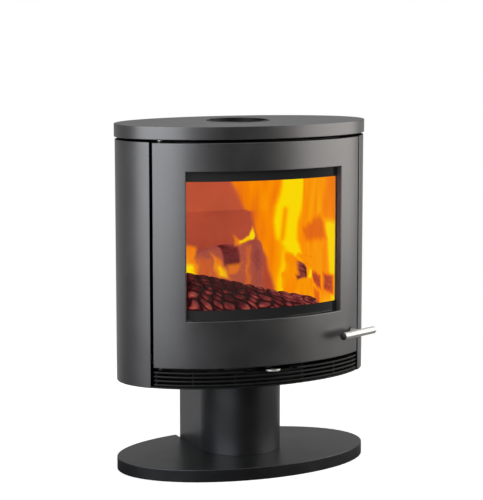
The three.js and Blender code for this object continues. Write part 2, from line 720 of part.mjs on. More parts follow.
function addGlass() {
  const edge = windowEdgeAngle(glassLap);
  const low = windowBottomZ - glassLap;
  const high = windowTopZ + glassLap;
  add('door_glass', prism(ovalStrip(-edge, edge, glassInset, doorThickness), low, high), 'glass');

  const clipOuter = doorBackInset;
  const clipInner = doorBackInset + clipThickness;
  const outerEdge = windowEdgeAngle(glassLap + clipWidth / 3);
  const innerEdge = windowEdgeAngle(glassLap - clipWidth / 2);
  const middle = (low + high) / 2;
  const sideHalf = (high - low) / 2 - clipWidth;
  for (const [name, side] of [['left', -1], ['right', 1]]) {
    add(`glass_clip_${name}`, prism(ovalStrip(side * innerEdge, side * outerEdge, clipOuter, clipInner),
      middle - sideHalf, middle + sideHalf), 'bareSteel');
  }
  const reach = clipWidth / 2;
  add('glass_clip_top', prism(ovalStrip(-innerEdge, innerEdge, clipOuter, clipInner), high - reach,
    high + reach), 'bareSteel');
  add('glass_clip_bottom', prism(ovalStrip(-innerEdge, innerEdge, clipOuter, clipInner), low - reach,
    low + reach), 'bareSteel');
}

function addGasket() {
  const outerEdge = angleAtX(gasketHalfWidth);
  const innerEdge = angleAtX(gasketHalfWidth - gasketWidth);
  const low = doorBottomZ + gasketEndDistance;
  const high = doorTopZ - gasketEndDistance;
  const loop = prism(ovalStrip(-outerEdge, outerEdge, doorBackInset, doorBackInset + gasketThickness), low, high);
  const inside = prism(ovalStrip(-innerEdge, innerEdge, doorBackInset - 5, doorBackInset + gasketThickness + 5),
    low + gasketWidth, high - gasketWidth);
  add('door_gasket', cut(loop, inside), 'ropeSeal');
}

function addHinges() {
  const bracket = (bottomZ) => {
    const arm = new THREE.Shape();
    arm.moveTo(hingeBracketTailX, hinge.y - hingeBracketReach / 2);
    arm.lineTo(hingeBracketTailX, hinge.y + hingeBracketDepth);
    arm.lineTo(hinge.x + hingeBracketReach, hinge.y + hingeBracketDepth);
    arm.absarc(hinge.x, hinge.y, hingeBracketReach - 5, Math.PI / 2, Math.PI * 1.5, false);
    return cut(prism(arm, bottomZ, bottomZ + hingeBracketThickness),
      upright(hinge.x, hinge.y, hingePinRadius + seatGap, bottomZ - 1, bottomZ + hingeBracketThickness + 1, 16));
  };
  add('hinge_bracket_top', bracket(bodyTopZ), 'blackPaint');
  add('hinge_bracket_bottom', bracket(casingBottomZ - hingeBracketThickness), 'blackPaint');

  const bracketTopZ = bodyTopZ + hingeBracketThickness;
  const headZ = bracketTopZ + seatGap;
  add('hinge_pin_top', turned(hinge.x, hinge.y, [
    [0, doorTopZ - hingePinDepth + 1], [hingePinRadius, doorTopZ - hingePinDepth + 1],
    [hingePinRadius, headZ], [hingeCollarRadius, headZ], [hingeCollarRadius, headZ + hingeHeadHeight],
    [0, headZ + hingeHeadHeight],
  ]), 'brushedSteel');
  const collarZ = casingBottomZ + seatGap;
  const footZ = casingBottomZ - hingeBracketThickness;
  add('hinge_pin_bottom', turned(hinge.x, hinge.y, [
    [0, footZ], [hingePinRadius, footZ], [hingePinRadius, collarZ], [hingeCollarRadius, collarZ],
    [hingeCollarRadius, doorBottomZ - seatGap], [hingePinRadius, doorBottomZ - seatGap],
    [hingePinRadius, doorBottomZ + hingePinDepth - 1], [0, doorBottomZ + hingePinDepth - 1],
  ]), 'brushedSteel');
}

// ---------------------------------------------------------------- handle and latch

// A frame at the door's face where the handle sits: x runs along the bar, y is up, z points out.
function handleFrame() {
  const surface = ovalPoint(body, angleAtX(handleX));
  const outward = new THREE.Vector3(Math.sin(handleTurn), -Math.cos(handleTurn), 0);
  const along = new THREE.Vector3(Math.cos(handleTurn), Math.sin(handleTurn), 0);
  const frame = new THREE.Matrix4().makeBasis(along, new THREE.Vector3(0, 0, 1), outward);
  return frame.setPosition(surface.x, surface.y, handleZ);
}

// A round piece on the spindle's line, between two distances from the door's face.
function handleRound(radius, from, to) {
  const geometry = new THREE.CylinderGeometry(radius, radius, to - from, 20);
  geometry.rotateX(Math.PI / 2).translate(0, 0, (from + to) / 2);
  return geometry.applyMatrix4(handleFrame());
}

function addHandle() {
  const frame = handleFrame();
  const barTurn = new THREE.Matrix4().makeRotationZ(-Math.PI / 2);
  const bar = new THREE.LatheGeometry([
    [0, -handleBarLong + handleCapLength], [handleBarRadius, -handleBarLong + handleCapLength],
    [handleBarRadius, handleBarShort - handleBarBevel],
    [handleBarRadius - handleBarBevel, handleBarShort], [0, handleBarShort],
  ].map(([radius, y]) => new THREE.Vector2(radius, y)), 24);
  bar.applyMatrix4(barTurn).translate(0, 0, handleStandOff).applyMatrix4(frame);
  add('handle_bar', bar, 'brushedSteel');

  const cap = new THREE.LatheGeometry([
    [0, -handleBarLong], [handleBarRadius - 1, -handleBarLong], [handleBarRadius, -handleBarLong + 1],
    [handleBarRadius, -handleBarLong + handleCapLength - seatGap], [0, -handleBarLong + handleCapLength - seatGap],
  ].map(([radius, y]) => new THREE.Vector2(radius, y)), 24);
  cap.applyMatrix4(barTurn).translate(0, 0, handleStandOff).applyMatrix4(frame);
  add('handle_end_cap', cap, 'blackPlastic');

  const postTop = handleStandOff - handleBarRadius * (1 - handlePostSink);
  const post = handleRound(handlePostRadius, -doorThickness, postTop);
  const spindle = handleRound(spindleRadius, -camDepth + camThickness / 2 + seatGap, -doorThickness + 1);
  const barRoom = new THREE.CylinderGeometry(handleBarRadius + seatGap, handleBarRadius + seatGap,
    handleBarLong, 24).applyMatrix4(barTurn).translate(0, 0, handleStandOff).applyMatrix4(frame);
  add('handle_post', cut(join(post, spindle), barRoom), 'brushedSteel');

  const bush = toSolid(handleRound(handleBushRadius, -handleBushLength, handleBushLength));
  const doorSkin = prism(ovalStrip(-doorEdgeAngle, doorEdgeAngle, -seatGap, doorThickness), doorBottomZ, doorTopZ);
  add('handle_bush', toGeometry(bush.subtract(toSolid(handleRound(handlePostRadius + seatGap, -20, 20)))
    .subtract(toSolid(doorSkin))), 'blackPlastic');

  const arm = new THREE.Shape();
  arm.moveTo(0, -camHalfWidth - 2);
  arm.lineTo(camLength - camHalfWidth, -camHalfWidth);
  arm.absarc(camLength - camHalfWidth, 0, camHalfWidth, -Math.PI / 2, Math.PI / 2, false);
  arm.lineTo(0, camHalfWidth + 2);
  arm.absarc(0, 0, camHalfWidth + 2, Math.PI / 2, Math.PI * 1.5, false);
  const cam = new THREE.ExtrudeGeometry(arm, { depth: camThickness, bevelEnabled: false, curveSegments: 8 });
  cam.translate(0, 0, -camDepth - camThickness / 2).applyMatrix4(frame);
  add('latch_cam', cam, 'bareSteel');
}

function addKeeper() {
  const frame = handleFrame();
  const corner = (along, depth) => {
    const point = new THREE.Vector3(along, 0, -depth).applyMatrix4(frame);
    return new THREE.Vector2(point.x, point.y);
  };
  const lipBack = keeperLipDepth + keeperLipThickness;
  const lip = new THREE.Shape([corner(keeperLipFrom, keeperLipDepth), corner(keeperLipTo, keeperLipDepth),
    corner(keeperLipTo, lipBack), corner(keeperLipFrom, lipBack)]);
  const plate = new THREE.Shape([corner(keeperLipFrom, keeperLipDepth), corner(keeperLipTo, keeperLipDepth),
    corner(keeperLipTo, keeperLipDepth + keeperPlateDepth), new THREE.Vector2(casingHalfWidth, keeperFootBackY),
    new THREE.Vector2(casingHalfWidth, keeperFootFrontY)]);
  add('latch_keeper', join(prism(plate, keeperPlateZ, keeperPlateZ + keeperPlateThickness),
    prism(lip, keeperPlateZ, keeperLipTopZ)), 'bareSteel');
}

// ---------------------------------------------------------------- firewood

// A split log along x: its section tapers from one end to the other, with a wavy bark outline.
function splitLog(from, to, sections, sides = 10) {
  const length = to.distanceTo(from);
  const steps = 6;
  const log = new THREE.CylinderGeometry(1, 1, length, sides, steps);
  const places = log.attributes.position;
  for (let i = 0; i < places.count; i++) {
    const share = places.getY(i) / length + 0.5;
    const angle = Math.atan2(places.getZ(i), places.getX(i));
    const reach = Math.hypot(places.getX(i), places.getZ(i));
    const wave = 1 + 0.05 * Math.sin(5 * angle + 9 * share) + 0.04 * Math.sin(3 * angle - 14 * share);
    const half = sections[0].clone().lerp(sections[1], share).multiplyScalar(reach < 0.5 ? 0 : wave);
    places.setXYZ(i, half.x * Math.cos(angle), places.getY(i), half.y * Math.sin(angle));
  }
  const direction = to.clone().sub(from).normalize();
  const sideways = new THREE.Vector3(0, 0, 1).cross(direction).normalize();
  const up = direction.clone().cross(sideways);
  const frame = new THREE.Matrix4().makeBasis(sideways, direction, up.negate());
  frame.setPosition(from.clone().add(to).multiplyScalar(0.5));
  return log.applyMatrix4(frame);
}

function addLogs() {
  const bedTop = fireBedZ + seatGap;
  const logs = [['log_front', frontLogLeft, frontLogRight], ['log_rear_left', rearLogLeft, rearLogRight],
    ['log_rear_right', cornerLogLeft, cornerLogRight]];
  for (const [name, left, right] of logs) {
    const start = new THREE.Vector3(left.x, left.y, bedTop + left.halfHeight);
    const end = new THREE.Vector3(right.x, right.y, bedTop + right.halfHeight);
    const sections = [left, right].map(({ halfDepth, halfHeight }) => new THREE.Vector2(halfDepth, halfHeight));
    const wood = splitLog(start, end, sections);
    wood.computeBoundingBox();
    add(name, wood.translate(0, 0, bedTop - wood.boundingBox.min.z), 'wood');
  }
}

addBasePlate();
addColumn();
addColumnBolts();
addFloorPan();
addAirSpigot();
addGrille();
addSlotPlate();
addDamperRails();
addCasing();
addLining();
addGrate();
addAshPan();
addSidePanels();
addPanelBrackets();
addBackPanel();
addTopPlate();
addFlueCollar();
addHinges();
addKeeper();
addLogs();
addDoor();
addGlass();
addGasket();
addHandle();
addAirLever();

export default stove;
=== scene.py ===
"""An oval wood stove on a pedestal, with a fire behind its curved glass door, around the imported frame."""

import math

import bmesh
import bpy
import numpy as np
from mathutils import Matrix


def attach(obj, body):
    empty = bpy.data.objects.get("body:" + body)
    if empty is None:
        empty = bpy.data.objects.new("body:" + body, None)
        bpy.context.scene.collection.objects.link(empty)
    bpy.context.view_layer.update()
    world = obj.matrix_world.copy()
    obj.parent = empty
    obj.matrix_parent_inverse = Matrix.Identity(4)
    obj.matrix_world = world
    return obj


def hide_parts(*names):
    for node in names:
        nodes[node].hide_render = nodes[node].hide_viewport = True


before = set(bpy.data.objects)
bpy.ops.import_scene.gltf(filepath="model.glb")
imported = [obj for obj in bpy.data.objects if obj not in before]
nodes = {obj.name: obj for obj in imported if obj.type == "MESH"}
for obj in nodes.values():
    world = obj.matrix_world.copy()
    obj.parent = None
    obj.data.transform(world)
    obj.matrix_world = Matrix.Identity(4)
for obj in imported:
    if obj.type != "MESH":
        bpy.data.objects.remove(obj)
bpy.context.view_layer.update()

# ---- sizes, in millimetres as in the CAD

MM = 0.001
SEAT_GAP = 0.3
BODY = (323.0, 190.0)  # half width and half depth of the oval
TOP_OVAL = (325.0, 192.0)
BASE_OVAL = (324.0, 197.0)

BASE_TOP = 31.0
BODY_BOTTOM = 227.0
BODY_TOP = 819.0
TOP_PLATE = (825.0, 857.0)
TOP_WALL = 8.0
BOSS_X, BOSS_Y, BOSS_RADIUS = 165.0, 85.0, 11.0  # where the lid rests on the body

COLUMN_HALF = 105.0
COLUMN_CENTRE_Y = 18.0
COLUMN_BACK_Y = 160.0
COLUMN_WALL = 5.0
FLANGE_WIDTH = 30.0
FLANGE_THICKNESS = 4.0
NOTCH_WIDE = 106.0
NOTCH_NARROW = 69.0
NOTCH_BACK_Y = 161.0
NOTCH_FRONT_Y = 96.0

DOOR_END = math.radians(57.35)
DOOR_LOW, DOOR_HIGH = 276.5, 818.0
DOOR_THICKNESS = 18.0
WINDOW_HALF = 204.0
WINDOW_LOW, WINDOW_HIGH = 392.0, 750.0
GLASS_INSET = 14.0
GLASS_LAP = 9.0
FRIT_LOW, FRIT_HIGH = 416.0, 725.5
PANEL_FROM, PANEL_TO = math.radians(59.1), math.radians(140.0)
PANEL_THICKNESS = 3.0
BACK_FROM = math.radians(141.2)
VENT_PITCH, VENT_WIDTH, VENT_HEIGHT, VENT_EDGE = 22.0, 7.0, 46.0, 26.0
VENT_COUNT = 11
VENT_ROWS = (2, 6)  # the rows of the rear panel's grid that hold the vents

SLAT_COUNT = 4
SLAT_FIRST_Z = 233.0
SLAT_PITCH = 10.1
SLAT_THICKNESS = 4.8
SLAT_INSET, SLAT_DEPTH = 2.0, 12.0
SLOT_X = (-72.0, 70.5)

FLUE_Y = 21.0
FLUE_RADIUS = 78.0
FLUE_BORE = 72.0
FLUE_TOP = 858.5
COLLAR_FOOT_RADIUS, COLLAR_FOOT_HEIGHT = 96.0, 4.0

HINGE = (-253.0, -107.0)
HANDLE_X, HANDLE_Z = 243.0, 335.0
HANDLE_TURN = math.radians(25.0)
HANDLE_STAND_OFF = 37.0
BAR_FROM, BAR_TO, BAR_RADIUS = -72.0, 46.0, 9.0
POST_BACK, POST_STEP, POST_FRONT = -34.0, -17.0, 30.0
CAP_END = -76.0
KNOB_X, KNOB_Y = 7.5, -181.0
KNOB_HALF_WIDTH, KNOB_DEPTH = 18.5, 15.0
KNOB_LOW, KNOB_HIGH = 263.4, 268.0

FIRE_BED = 351.5
BRICK_JOINT = 622.0
LINING_TOP = 723.5
BED_HALF, BED_FRONT, BED_BACK = 186.0, -112.0, 104.0

# ---- shapes


def oval(angle, inset=0.0, size=BODY):
    """x and y on an oval moved inwards: (a sin t, -b cos t), less inset along the normal (sin t/a, -cos t/b)."""
    half_width, half_depth = size
    across, along = np.sin(angle), np.cos(angle)
    normal_x, normal_y = across / half_width, -along / half_depth
    length = np.hypot(normal_x, normal_y)
    return half_width * across - inset * normal_x / length, -half_depth * along - inset * normal_y / length


def angle_at(x):
    """The angle where the oval's front half stands at x."""
    angles = np.linspace(-math.pi / 2, math.pi / 2, 6001)
    return np.interp(x, oval(angles)[0], angles)


def waves(seed, scale, *axes):
    """A smooth field, mostly within 1 of 0: a quarter of eight sines in random directions, each about scale long."""
    draw = np.random.default_rng(seed)
    total = 0.0
    for _ in range(8):
        direction = draw.normal(size=len(axes))
        direction *= draw.uniform(0.6, 1.5) / np.linalg.norm(direction)
        phase = draw.uniform(0, 2 * math.pi)
        total = total + np.sin(sum(d * a for d, a in zip(direction, axes)) * 2 * math.pi / scale + phase)
    return total / 4.0


def unit(value):
    """The value held between 0 and 1."""
    return np.clip(value, 0, 1)


def smooth(value):
    """The value held between 0 and 1, eased at both ends: 3 v^2 - 2 v^3."""
    value = unit(value)
    return value * value * (3 - 2 * value)


def inset_outline(points, distance):
    """A closed outline moved inwards by distance, along each corner's mitre (n1 + n2) / (1 + n1.n2)."""
    before = points - np.roll(points, 1, axis=0)
    after = np.roll(points, -1, axis=0) - points
    normals = []
    for edge in (before, after):
        length = np.linalg.norm(edge, axis=1, keepdims=True)
        normals.append(np.c_[-edge[:, 1], edge[:, 0]] / np.maximum(length, 1e-9))
    mitre = (normals[0] + normals[1]) / (1 + np.sum(normals[0] * normals[1], axis=1, keepdims=True))
    turn = np.sign(np.sum(np.cross(points, np.roll(points, -1, axis=0))))
    return points + distance * turn * mitre


def rounded(corners, radius):
    """An outline with each corner c as a curve (1-t)^2 a + 2t(1-t) c + t^2 b between a and b on its edges, and one
    point more on each edge."""
    corners = np.asarray(corners, float)
    share = np.linspace(0, 1, 4)[:, None]
    outline = []
    for i, corner in enumerate(corners):
        to_last = corners[i - 1] - corner
        to_next = corners[(i + 1) % len(corners)] - corner
        to_last /= np.linalg.norm(to_last)
        to_next /= np.linalg.norm(to_next)
        start, end = corner + radius * to_last, corner + radius * to_next
        curve = (1 - share) ** 2 * start + 2 * share * (1 - share) * corner + share**2 * end
        outline += [[corner + 1.8 * radius * to_last], curve, [corner + 1.8 * radius * to_next]]
    return np.concatenate(outline)


def box_section(near, far, low, high, radius):
    """A rectangle of (inset, height) points with rounded corners."""
    return rounded([(near, low), (near, high), (far, high), (far, low)], radius)


def grid_part(grid, wrap_rows=False, wrap_cols=False, cap_rows=False):
    """Points and faces of a grid, wrapped round where asked; cap_rows adds flat faces on its first and last row."""
    rows, cols = grid.shape[:2]
    row = np.arange(rows if wrap_rows else rows - 1)[:, None]
    col = np.arange(cols if wrap_cols else cols - 1)[None, :]
    next_row, next_col = (row + 1) % rows, (col + 1) % cols
    here, after = row * cols, next_row * cols
    quads = np.stack([here + col, here + next_col, after + next_col, after + col], axis=-1)
    faces = quads.reshape(-1, 4).tolist()
    if cap_rows:
        faces += [list(range(cols))[::-1], list(range((rows - 1) * cols, rows * cols))]
    return grid.reshape(-1, 3), faces


def swept(section, angles, end_radius=0.6):
    """A section of (inset, height) points carried along the oval, drawn in a little at both ends."""
    section = np.asarray(section, float)
    step = end_radius / BODY[0]
    stations = [(angles[0], end_radius), (angles[0] + 0.3 * step, 0.3 * end_radius)]
    stations += [(angle, 0.0) for angle in np.linspace(angles[0] + step, angles[-1] - step, len(angles))]
    stations += [(angles[-1] - 0.3 * step, 0.3 * end_radius), (angles[-1], end_radius)]
    rings = []
    for angle, shrink in stations:
        ring = inset_outline(section, shrink) if shrink else section
        rings.append(np.c_[(*oval(angle, ring[:, 0]), ring[:, 1])])
    return grid_part(np.array(rings), wrap_cols=True, cap_rows=True)


def edge_steps(radius, steps=5):
    """(inset, depth) pairs down a quarter turn's rounded edge: r (1 - sin q) and r (1 - cos q)."""
    return [(radius * (1 - math.sin(q)), radius * (1 - math.cos(q))) for q in np.linspace(0, math.pi / 2, steps)]


def slab(outline, low, high, radius):
    """A flat piece: its outline from low to high, with rounded edges."""
    outline = np.asarray(outline, float)
    flat = 2.2 * radius
    stations = [(flat, low)] + [(inset, low + depth) for inset, depth in edge_steps(radius)]
    stations += [(0.0, low + flat), (0.0, high - flat)]
    stations += [(inset, high - depth) for inset, depth in edge_steps(radius)[::-1]] + [(flat, high)]
    rings = []
    for distance, height in stations:
        ring = inset_outline(outline, distance)
        rings.append(np.c_[ring, np.full(len(ring), height)])
    return grid_part(np.array(rings), wrap_cols=True, cap_rows=True)


def revolved(profile, origin, axis=(0, 0, 1), steps=72):
    """A closed outline of (radius, height) points turned about an axis through origin."""
    axis = np.asarray(axis, float) / np.linalg.norm(axis)
    helper = (0, 0, 1.0) if abs(axis[2]) < 0.9 else (1.0, 0, 0)
    first = np.cross(helper, axis)
    first /= np.linalg.norm(first)
    second = np.cross(axis, first)
    turn = np.linspace(0, 2 * math.pi, steps, endpoint=False)[:, None, None]
    profile = np.asarray(profile, float)
    radius, height = profile[None, :, 0, None], profile[None, :, 1, None]
    grid = origin + height * axis + radius * (np.cos(turn) * first + np.sin(turn) * second)
    return grid_part(grid, wrap_rows=True, wrap_cols=True)


def new_object(name, data):
    made = bpy.data.objects.new(name, data)
    bpy.context.scene.collection.objects.link(made)
    return made


def piece(name, parts, finish, stands_for=None, body="root", closed=True, sharp=32.0, fields=None):
    """One object from points in millimetres and faces: doubles merged, a closed shell's normals outwards, and faces
    smooth up to the sharp angle. It rides on body and replaces the node stands_for."""
    points, faces = [], []
    for part_points, part_faces in parts:
        first = sum(len(p) for p in points)
        points.append(np.asarray(part_points, float))
        faces += [[first + i for i in face] for face in part_faces]
    points = np.concatenate(points) * MM
    mesh = bpy.data.meshes.new(name)
    mesh.from_pydata(points.tolist(), [], faces)
    for key, values in (fields or {}).items():
        layer = mesh.attributes.new(key, "FLOAT", "POINT")
        layer.data.foreach_set("value", np.ravel(values).astype(np.float32))
    work = bmesh.new()
    work.from_mesh(mesh)
    bmesh.ops.remove_doubles(work, verts=work.verts, dist=2e-6)
    bmesh.ops.dissolve_degenerate(work, edges=work.edges, dist=1e-7)
    if closed:
        bmesh.ops.recalc_face_normals(work, faces=work.faces)
    work.to_mesh(mesh)
    work.free()
    mesh.polygons.foreach_set("use_smooth", np.ones(len(mesh.polygons), bool))
    mesh.set_sharp_from_angle(angle=math.radians(sharp))
    mesh.materials.append(finish)
    made = new_object(name, mesh)
    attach(made, body)
    if stands_for:
        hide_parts(stands_for)
    return made


# ---- materials


def colour(code):
    """An sRGB hex value as linear numbers: v / 12.92 below 0.04045, otherwise ((v + 0.055) / 1.055) ^ 2.4."""
    values = [int(code[i : i + 2], 16) / 255 for i in (1, 3, 5)]
    return (*[v / 12.92 if v <= 0.04045 else ((v + 0.055) / 1.055) ** 2.4 for v in values], 1.0)


def add_node(tree, kind, inputs=None, **settings):
    """Adds one node with its settings; inputs maps a socket to a value or to another node's output."""
    node = tree.nodes.new("ShaderNode" + kind)
    for key, value in settings.items():
        setattr(node, key, value)
    for key, value in (inputs or {}).items():
        if isinstance(value, bpy.types.NodeSocket):
            tree.links.new(value, node.inputs[key])
        else:
            node.inputs[key].default_value = value
    return node


def wired(tree, kind, inputs=None, output=0, **settings):
    """One output of a new node, by number or name."""
    return add_node(tree, kind, inputs, **settings).outputs[output]


def math_of(tree, operation, first, second):
    return wired(tree, "Math", {0: first, 1: second}, operation=operation)


def mapped(tree, value, start, end, low=0.0, high=1.0):
    """The value moved in a straight line from the range start to end to the range low to high, and held there."""
    return wired(tree, "MapRange", {"Value": value, "From Min": start, "From Max": end, "To Min": low, "To Max": high})


def ramp(tree, share, stops):
    """A colour ramp of (place, hex) pairs."""
    node = add_node(tree, "ValToRGB", {"Fac": share})
    elements = node.color_ramp.elements
    elements.remove(elements[1])
    elements[0].position, elements[0].color = stops[0][0], colour(stops[0][1])
    for place, code in stops[1:]:
        elements.new(place).color = colour(code)
    return node.outputs[0]


def bumped(tree, height, distance_mm, strength=1.0):
    return wired(tree, "Bump", {"Height": height, "Distance": distance_mm * MM, "Strength": strength})


def object_place(tree):
    return wired(tree, "TexCoord", output="Object")


def noise(tree, place, scale, detail=2.0):
    return wired(tree, "TexNoise", {"Vector": place, "Scale": scale, "Detail": detail}, "Fac")


def material(name, build, *values, **more_values):
    """A material whose surface is the shader that build(tree, ...) returns."""
    made = bpy.data.materials.new(name)
    made.use_nodes = True
    tree = made.node_tree
    tree.nodes.clear()
    output = tree.nodes.new("ShaderNodeOutputMaterial")
    tree.links.new(build(tree, *values, **more_values), output.inputs["Surface"])
    return made


def coated(
    tree, tone, dark_tone, metallic, roughness, grain_mm, bump_mm, cloud_mm=90.0, gloss_swing=0.05, stretch=(1, 1, 1)
):
    """A colour with clouds towards a second, roughness that swings with them, and a fine grain in colour and bump."""
    place = object_place(tree)
    drawn = wired(tree, "Mapping", {"Vector": place, "Scale": stretch})
    clouds = noise(tree, place, 1 / (cloud_mm * MM), 3.0)
    grain = noise(tree, drawn, 1 / (grain_mm * MM))
    mixed = math_of(tree, "ADD", clouds, grain)
    tint = ramp(tree, mapped(tree, mixed, 0.75, 1.25), [(0.0, dark_tone), (1.0, tone)])
    rough = mapped(tree, mixed, 0.7, 1.3, roughness - gloss_swing, roughness + gloss_swing)
    look = {"Base Color": tint, "Metallic": metallic, "Roughness": rough, "Normal": bumped(tree, grain, bump_mm)}
    return wired(tree, "BsdfPrincipled", look)


def braided(tree):
    """Glass-fibre rope: a braid made of two crossing waves."""
    place = object_place(tree)
    turned = [wired(tree, "Mapping", {"Vector": place, "Rotation": (0, turn, 0)}) for turn in (0.8, -0.8)]
    strands = [
        wired(tree, "TexWave", {"Vector": way, "Scale": 60.0, "Distortion": 1.5}, "Fac", wave_type="BANDS")
        for way in turned
    ]
    braid = math_of(tree, "MAXIMUM", *strands)
    look = {
        "Base Color": ramp(tree, braid, [(0.1, "#1d1c1b"), (0.9, "#55524e")]), "Roughness": 0.95,
        "Normal": bumped(tree, braid, 0.8), "Sheen Weight": 0.3,
    }
    return wired(tree, "BsdfPrincipled", look)


def vermiculite(tree):
    """Pressed vermiculite: buff with 2.5 mm flakes, lit red by the fire, brighter above the back plates' joint, and
    hardly lit above the lining."""
    place = object_place(tree)
    height = wired(tree, "SeparateXYZ", {0: place}, "Z")
    flakes = wired(tree, "TexVoronoi", {"Vector": place, "Scale": 1 / (2.5 * MM)}, "Distance")
    clouds = noise(tree, place, 14.0, 4.0)
    upper = mapped(tree, height, (BRICK_JOINT - 0.6) * MM, (BRICK_JOINT + 0.6) * MM)
    lower_glow = ramp(tree, clouds, [(0.3, "#9c4030"), (0.7, "#b14a35")])
    upper_glow = ramp(tree, clouds, [(0.3, "#b24e36"), (0.7, "#c0563a")])
    look = {
        "Base Color": colour("#6e5340"), "Roughness": 0.95, "Normal": bumped(tree, flakes, 0.5, 0.5),
        "Emission Color": wired(tree, "Mix", {0: upper, 6: lower_glow, 7: upper_glow}, 2, data_type="RGBA"),
        "Emission Strength": mapped(tree, height, LINING_TOP * MM, (LINING_TOP + 3.0) * MM, 0.92, 0.06),
    }
    return wired(tree, "BsdfPrincipled", look)


def printed_glass(tree):
    """Ceramic glass: clear with 0.4 of Fresnel's mirror share where a ray enters, and two printed bands in glossy
    black ink, lifted to a dark grey as a painted reflection."""
    place = object_place(tree)
    height = wired(tree, "SeparateXYZ", {0: place}, "Z")
    above = math_of(tree, "GREATER_THAN", height, FRIT_HIGH * MM)
    below = math_of(tree, "LESS_THAN", height, FRIT_LOW * MM)
    band = math_of(tree, "MAXIMUM", above, below)
    entering = mapped(tree, wired(tree, "NewGeometry", output="Backfacing"), 0.0, 1.0, 0.4, 0.0)
    mirror = math_of(tree, "MULTIPLY", wired(tree, "Fresnel", {"IOR": 1.45}), entering)
    see_through = wired(tree, "BsdfTransparent", {"Color": colour("#fdfbf8")})
    shine = wired(tree, "BsdfGlossy", {"Color": colour("#ffffff"), "Roughness": 0.03})
    clear = wired(tree, "MixShader", {0: mirror, 1: see_through, 2: shine})
    dots = noise(tree, place, 900.0)
    # The print's black ink, lifted to a dark grey: a painted reflection on the bands.
    ink_with_painted_sheen = ramp(tree, dots, [(0.3, "#2e2e2e"), (0.7, "#3a3a39")])
    printed = wired(tree, "BsdfPrincipled", {"Base Color": ink_with_painted_sheen, "Roughness": 0.09, "Coat Weight": 0.3})
    return wired(tree, "MixShader", {0: band, 1: clear, 2: printed})


LOG_TONES = [
    (0.0, "#140306"), (0.2, "#43090f"), (0.42, "#802f33"), (0.62, "#a04a40"), (0.82, "#b9573c"), (1.0, "#ee8a34"),
]


def charred(tree):
    """Burning firewood: the point attribute 'glow' gives its heat, with painted firelight and highlights on the front
    log, black to dull red, with 6 mm flecks of ash.
    """
    heat = wired(tree, "Attribute", output="Fac", attribute_name="glow")
    flecks = noise(tree, object_place(tree), 160.0, 5.0)
    total = math_of(tree, "ADD", heat, mapped(tree, flecks, 0.3, 0.7, -0.06, 0.06))
    look = {
        "Base Color": colour("#0c0706"), "Roughness": 0.9, "Normal": bumped(tree, flecks, 1.0, 0.6),
        "Emission Color": ramp(tree, total, LOG_TONES), "Emission Strength": 0.95,
    }
    return wired(tree, "BsdfPrincipled", look)


FLAME_TONES = [
    (0.0, "#8c3c2e"), (0.07, "#b5492e"), (0.16, "#dd5a1e"), (0.34, "#f07a0c"), (0.5, "#fd8c02"), (0.7, "#ffa602"),
    (0.86, "#ffc800"), (1.0, "#ffe404"),
]


def flaming(tree):
    """Burning gas: the point attribute 'warmth' gives its colour, red to yellow, and 'cover' how much it hides."""
    heat = wired(tree, "Attribute", output="Fac", attribute_name="warmth")
    cover = wired(tree, "Attribute", output="Fac", attribute_name="cover")
    light = wired(tree, "Emission", {"Color": ramp(tree, heat, FLAME_TONES), "Strength": 1.0})
    return wired(tree, "MixShader", {0: cover, 1: wired(tree, "BsdfTransparent"), 2: light})


# Heat-resistant silicone paint with metal flake, sprayed: a satin dark grey that shows broad soft bands.
stove_paint = material("sprayed_stove_paint", coated, "#6b6b6c", "#646465", 0.9, 0.38, 1.1, 0.012)
# The same paint on the pedestal and its thick floor plate, made a shade darker as painted shade for these low parts
# under the body.
base_paint_with_painted_shade = material("sprayed_base_paint", coated, "#4c4d4f", "#464749", 0.88, 0.36, 1.1, 0.015)
# Matt black paint on the inner sheet steel and the grille: barely any shine.
black_paint = material("matt_black_paint", coated, "#121213", "#0d0d0e", 0.25, 0.5, 1.3, 0.02)
# Galvanised sheet and bolts: pale grey with clouded spangle about 12 mm across.
galvanised = material(
    "galvanised_steel", coated, "#a6a7a5", "#84868a", 1.0, 0.42, 3.0, 0.01, cloud_mm=12.0, gloss_swing=0.1
)
# Satin stainless steel, ground round its length: bright with fine rings.
satin_steel = material(
    "satin_stainless", coated, "#e4e3de", "#d6d5d0", 0.65, 0.3, 0.8, 0.004, cloud_mm=30.0, stretch=(6, 6, 1)
)
# Sand-cast iron: dark brown-grey with a coarse skin of about 1.8 mm.
cast_iron = material("sand_cast_iron", coated, "#3a3533", "#241f1d", 0.4, 0.75, 1.8, 0.25, cloud_mm=25.0)
# Moulded heat-proof plastic: near black with a faint sheen.
black_plastic = material("moulded_black_plastic", coated, "#141414", "#0e0e0e", 0.0, 0.45, 0.7, 0.01)
braided_rope = material("braided_glass_rope", braided)
fire_brick = material("pressed_vermiculite", vermiculite)
ceramic_glass = material("ceramic_glass", printed_glass)
burning_wood = material("burning_firewood", charred)
flame_gas = material("flame_gas", flaming)


def dress(finish, *names):
    """Gives these CAD nodes a material on their own slots."""
    for name in names:
        for slot in nodes[name].material_slots:
            slot.material = finish


sides = ("left", "right")
levels = ("lower", "upper")
ends = ("top", "bottom")
dress(galvanised, *[f"{place}_bolt_{i}" for place in ("base", "body") for i in range(1, 5)])
dress(galvanised, "air_spigot", "damper_rail_front", "damper_rail_rear", "ash_pan", "latch_keeper", "latch_cam")
dress(galvanised, "air_damper", *[f"glass_clip_{edge}" for edge in (*sides, *ends)])
dress(black_paint, "floor_pan", "air_slot_plate", "firebox_casing", "fire_plate", "steel_baffle")
dress(black_paint, *[f"panel_bracket_{side}_{level}" for side in sides for level in levels])
dress(black_paint, "panel_bracket_back", *[f"hinge_bracket_{end}" for end in ends])
dress(fire_brick, "brick_floor", *[f"brick_{side}" for side in sides])
dress(fire_brick, "baffle_brick", *[f"brick_back_{level}" for level in levels])
dress(cast_iron, "grate")
dress(braided_rope, "door_gasket")
dress(black_plastic, "handle_bush")

# ---- shell


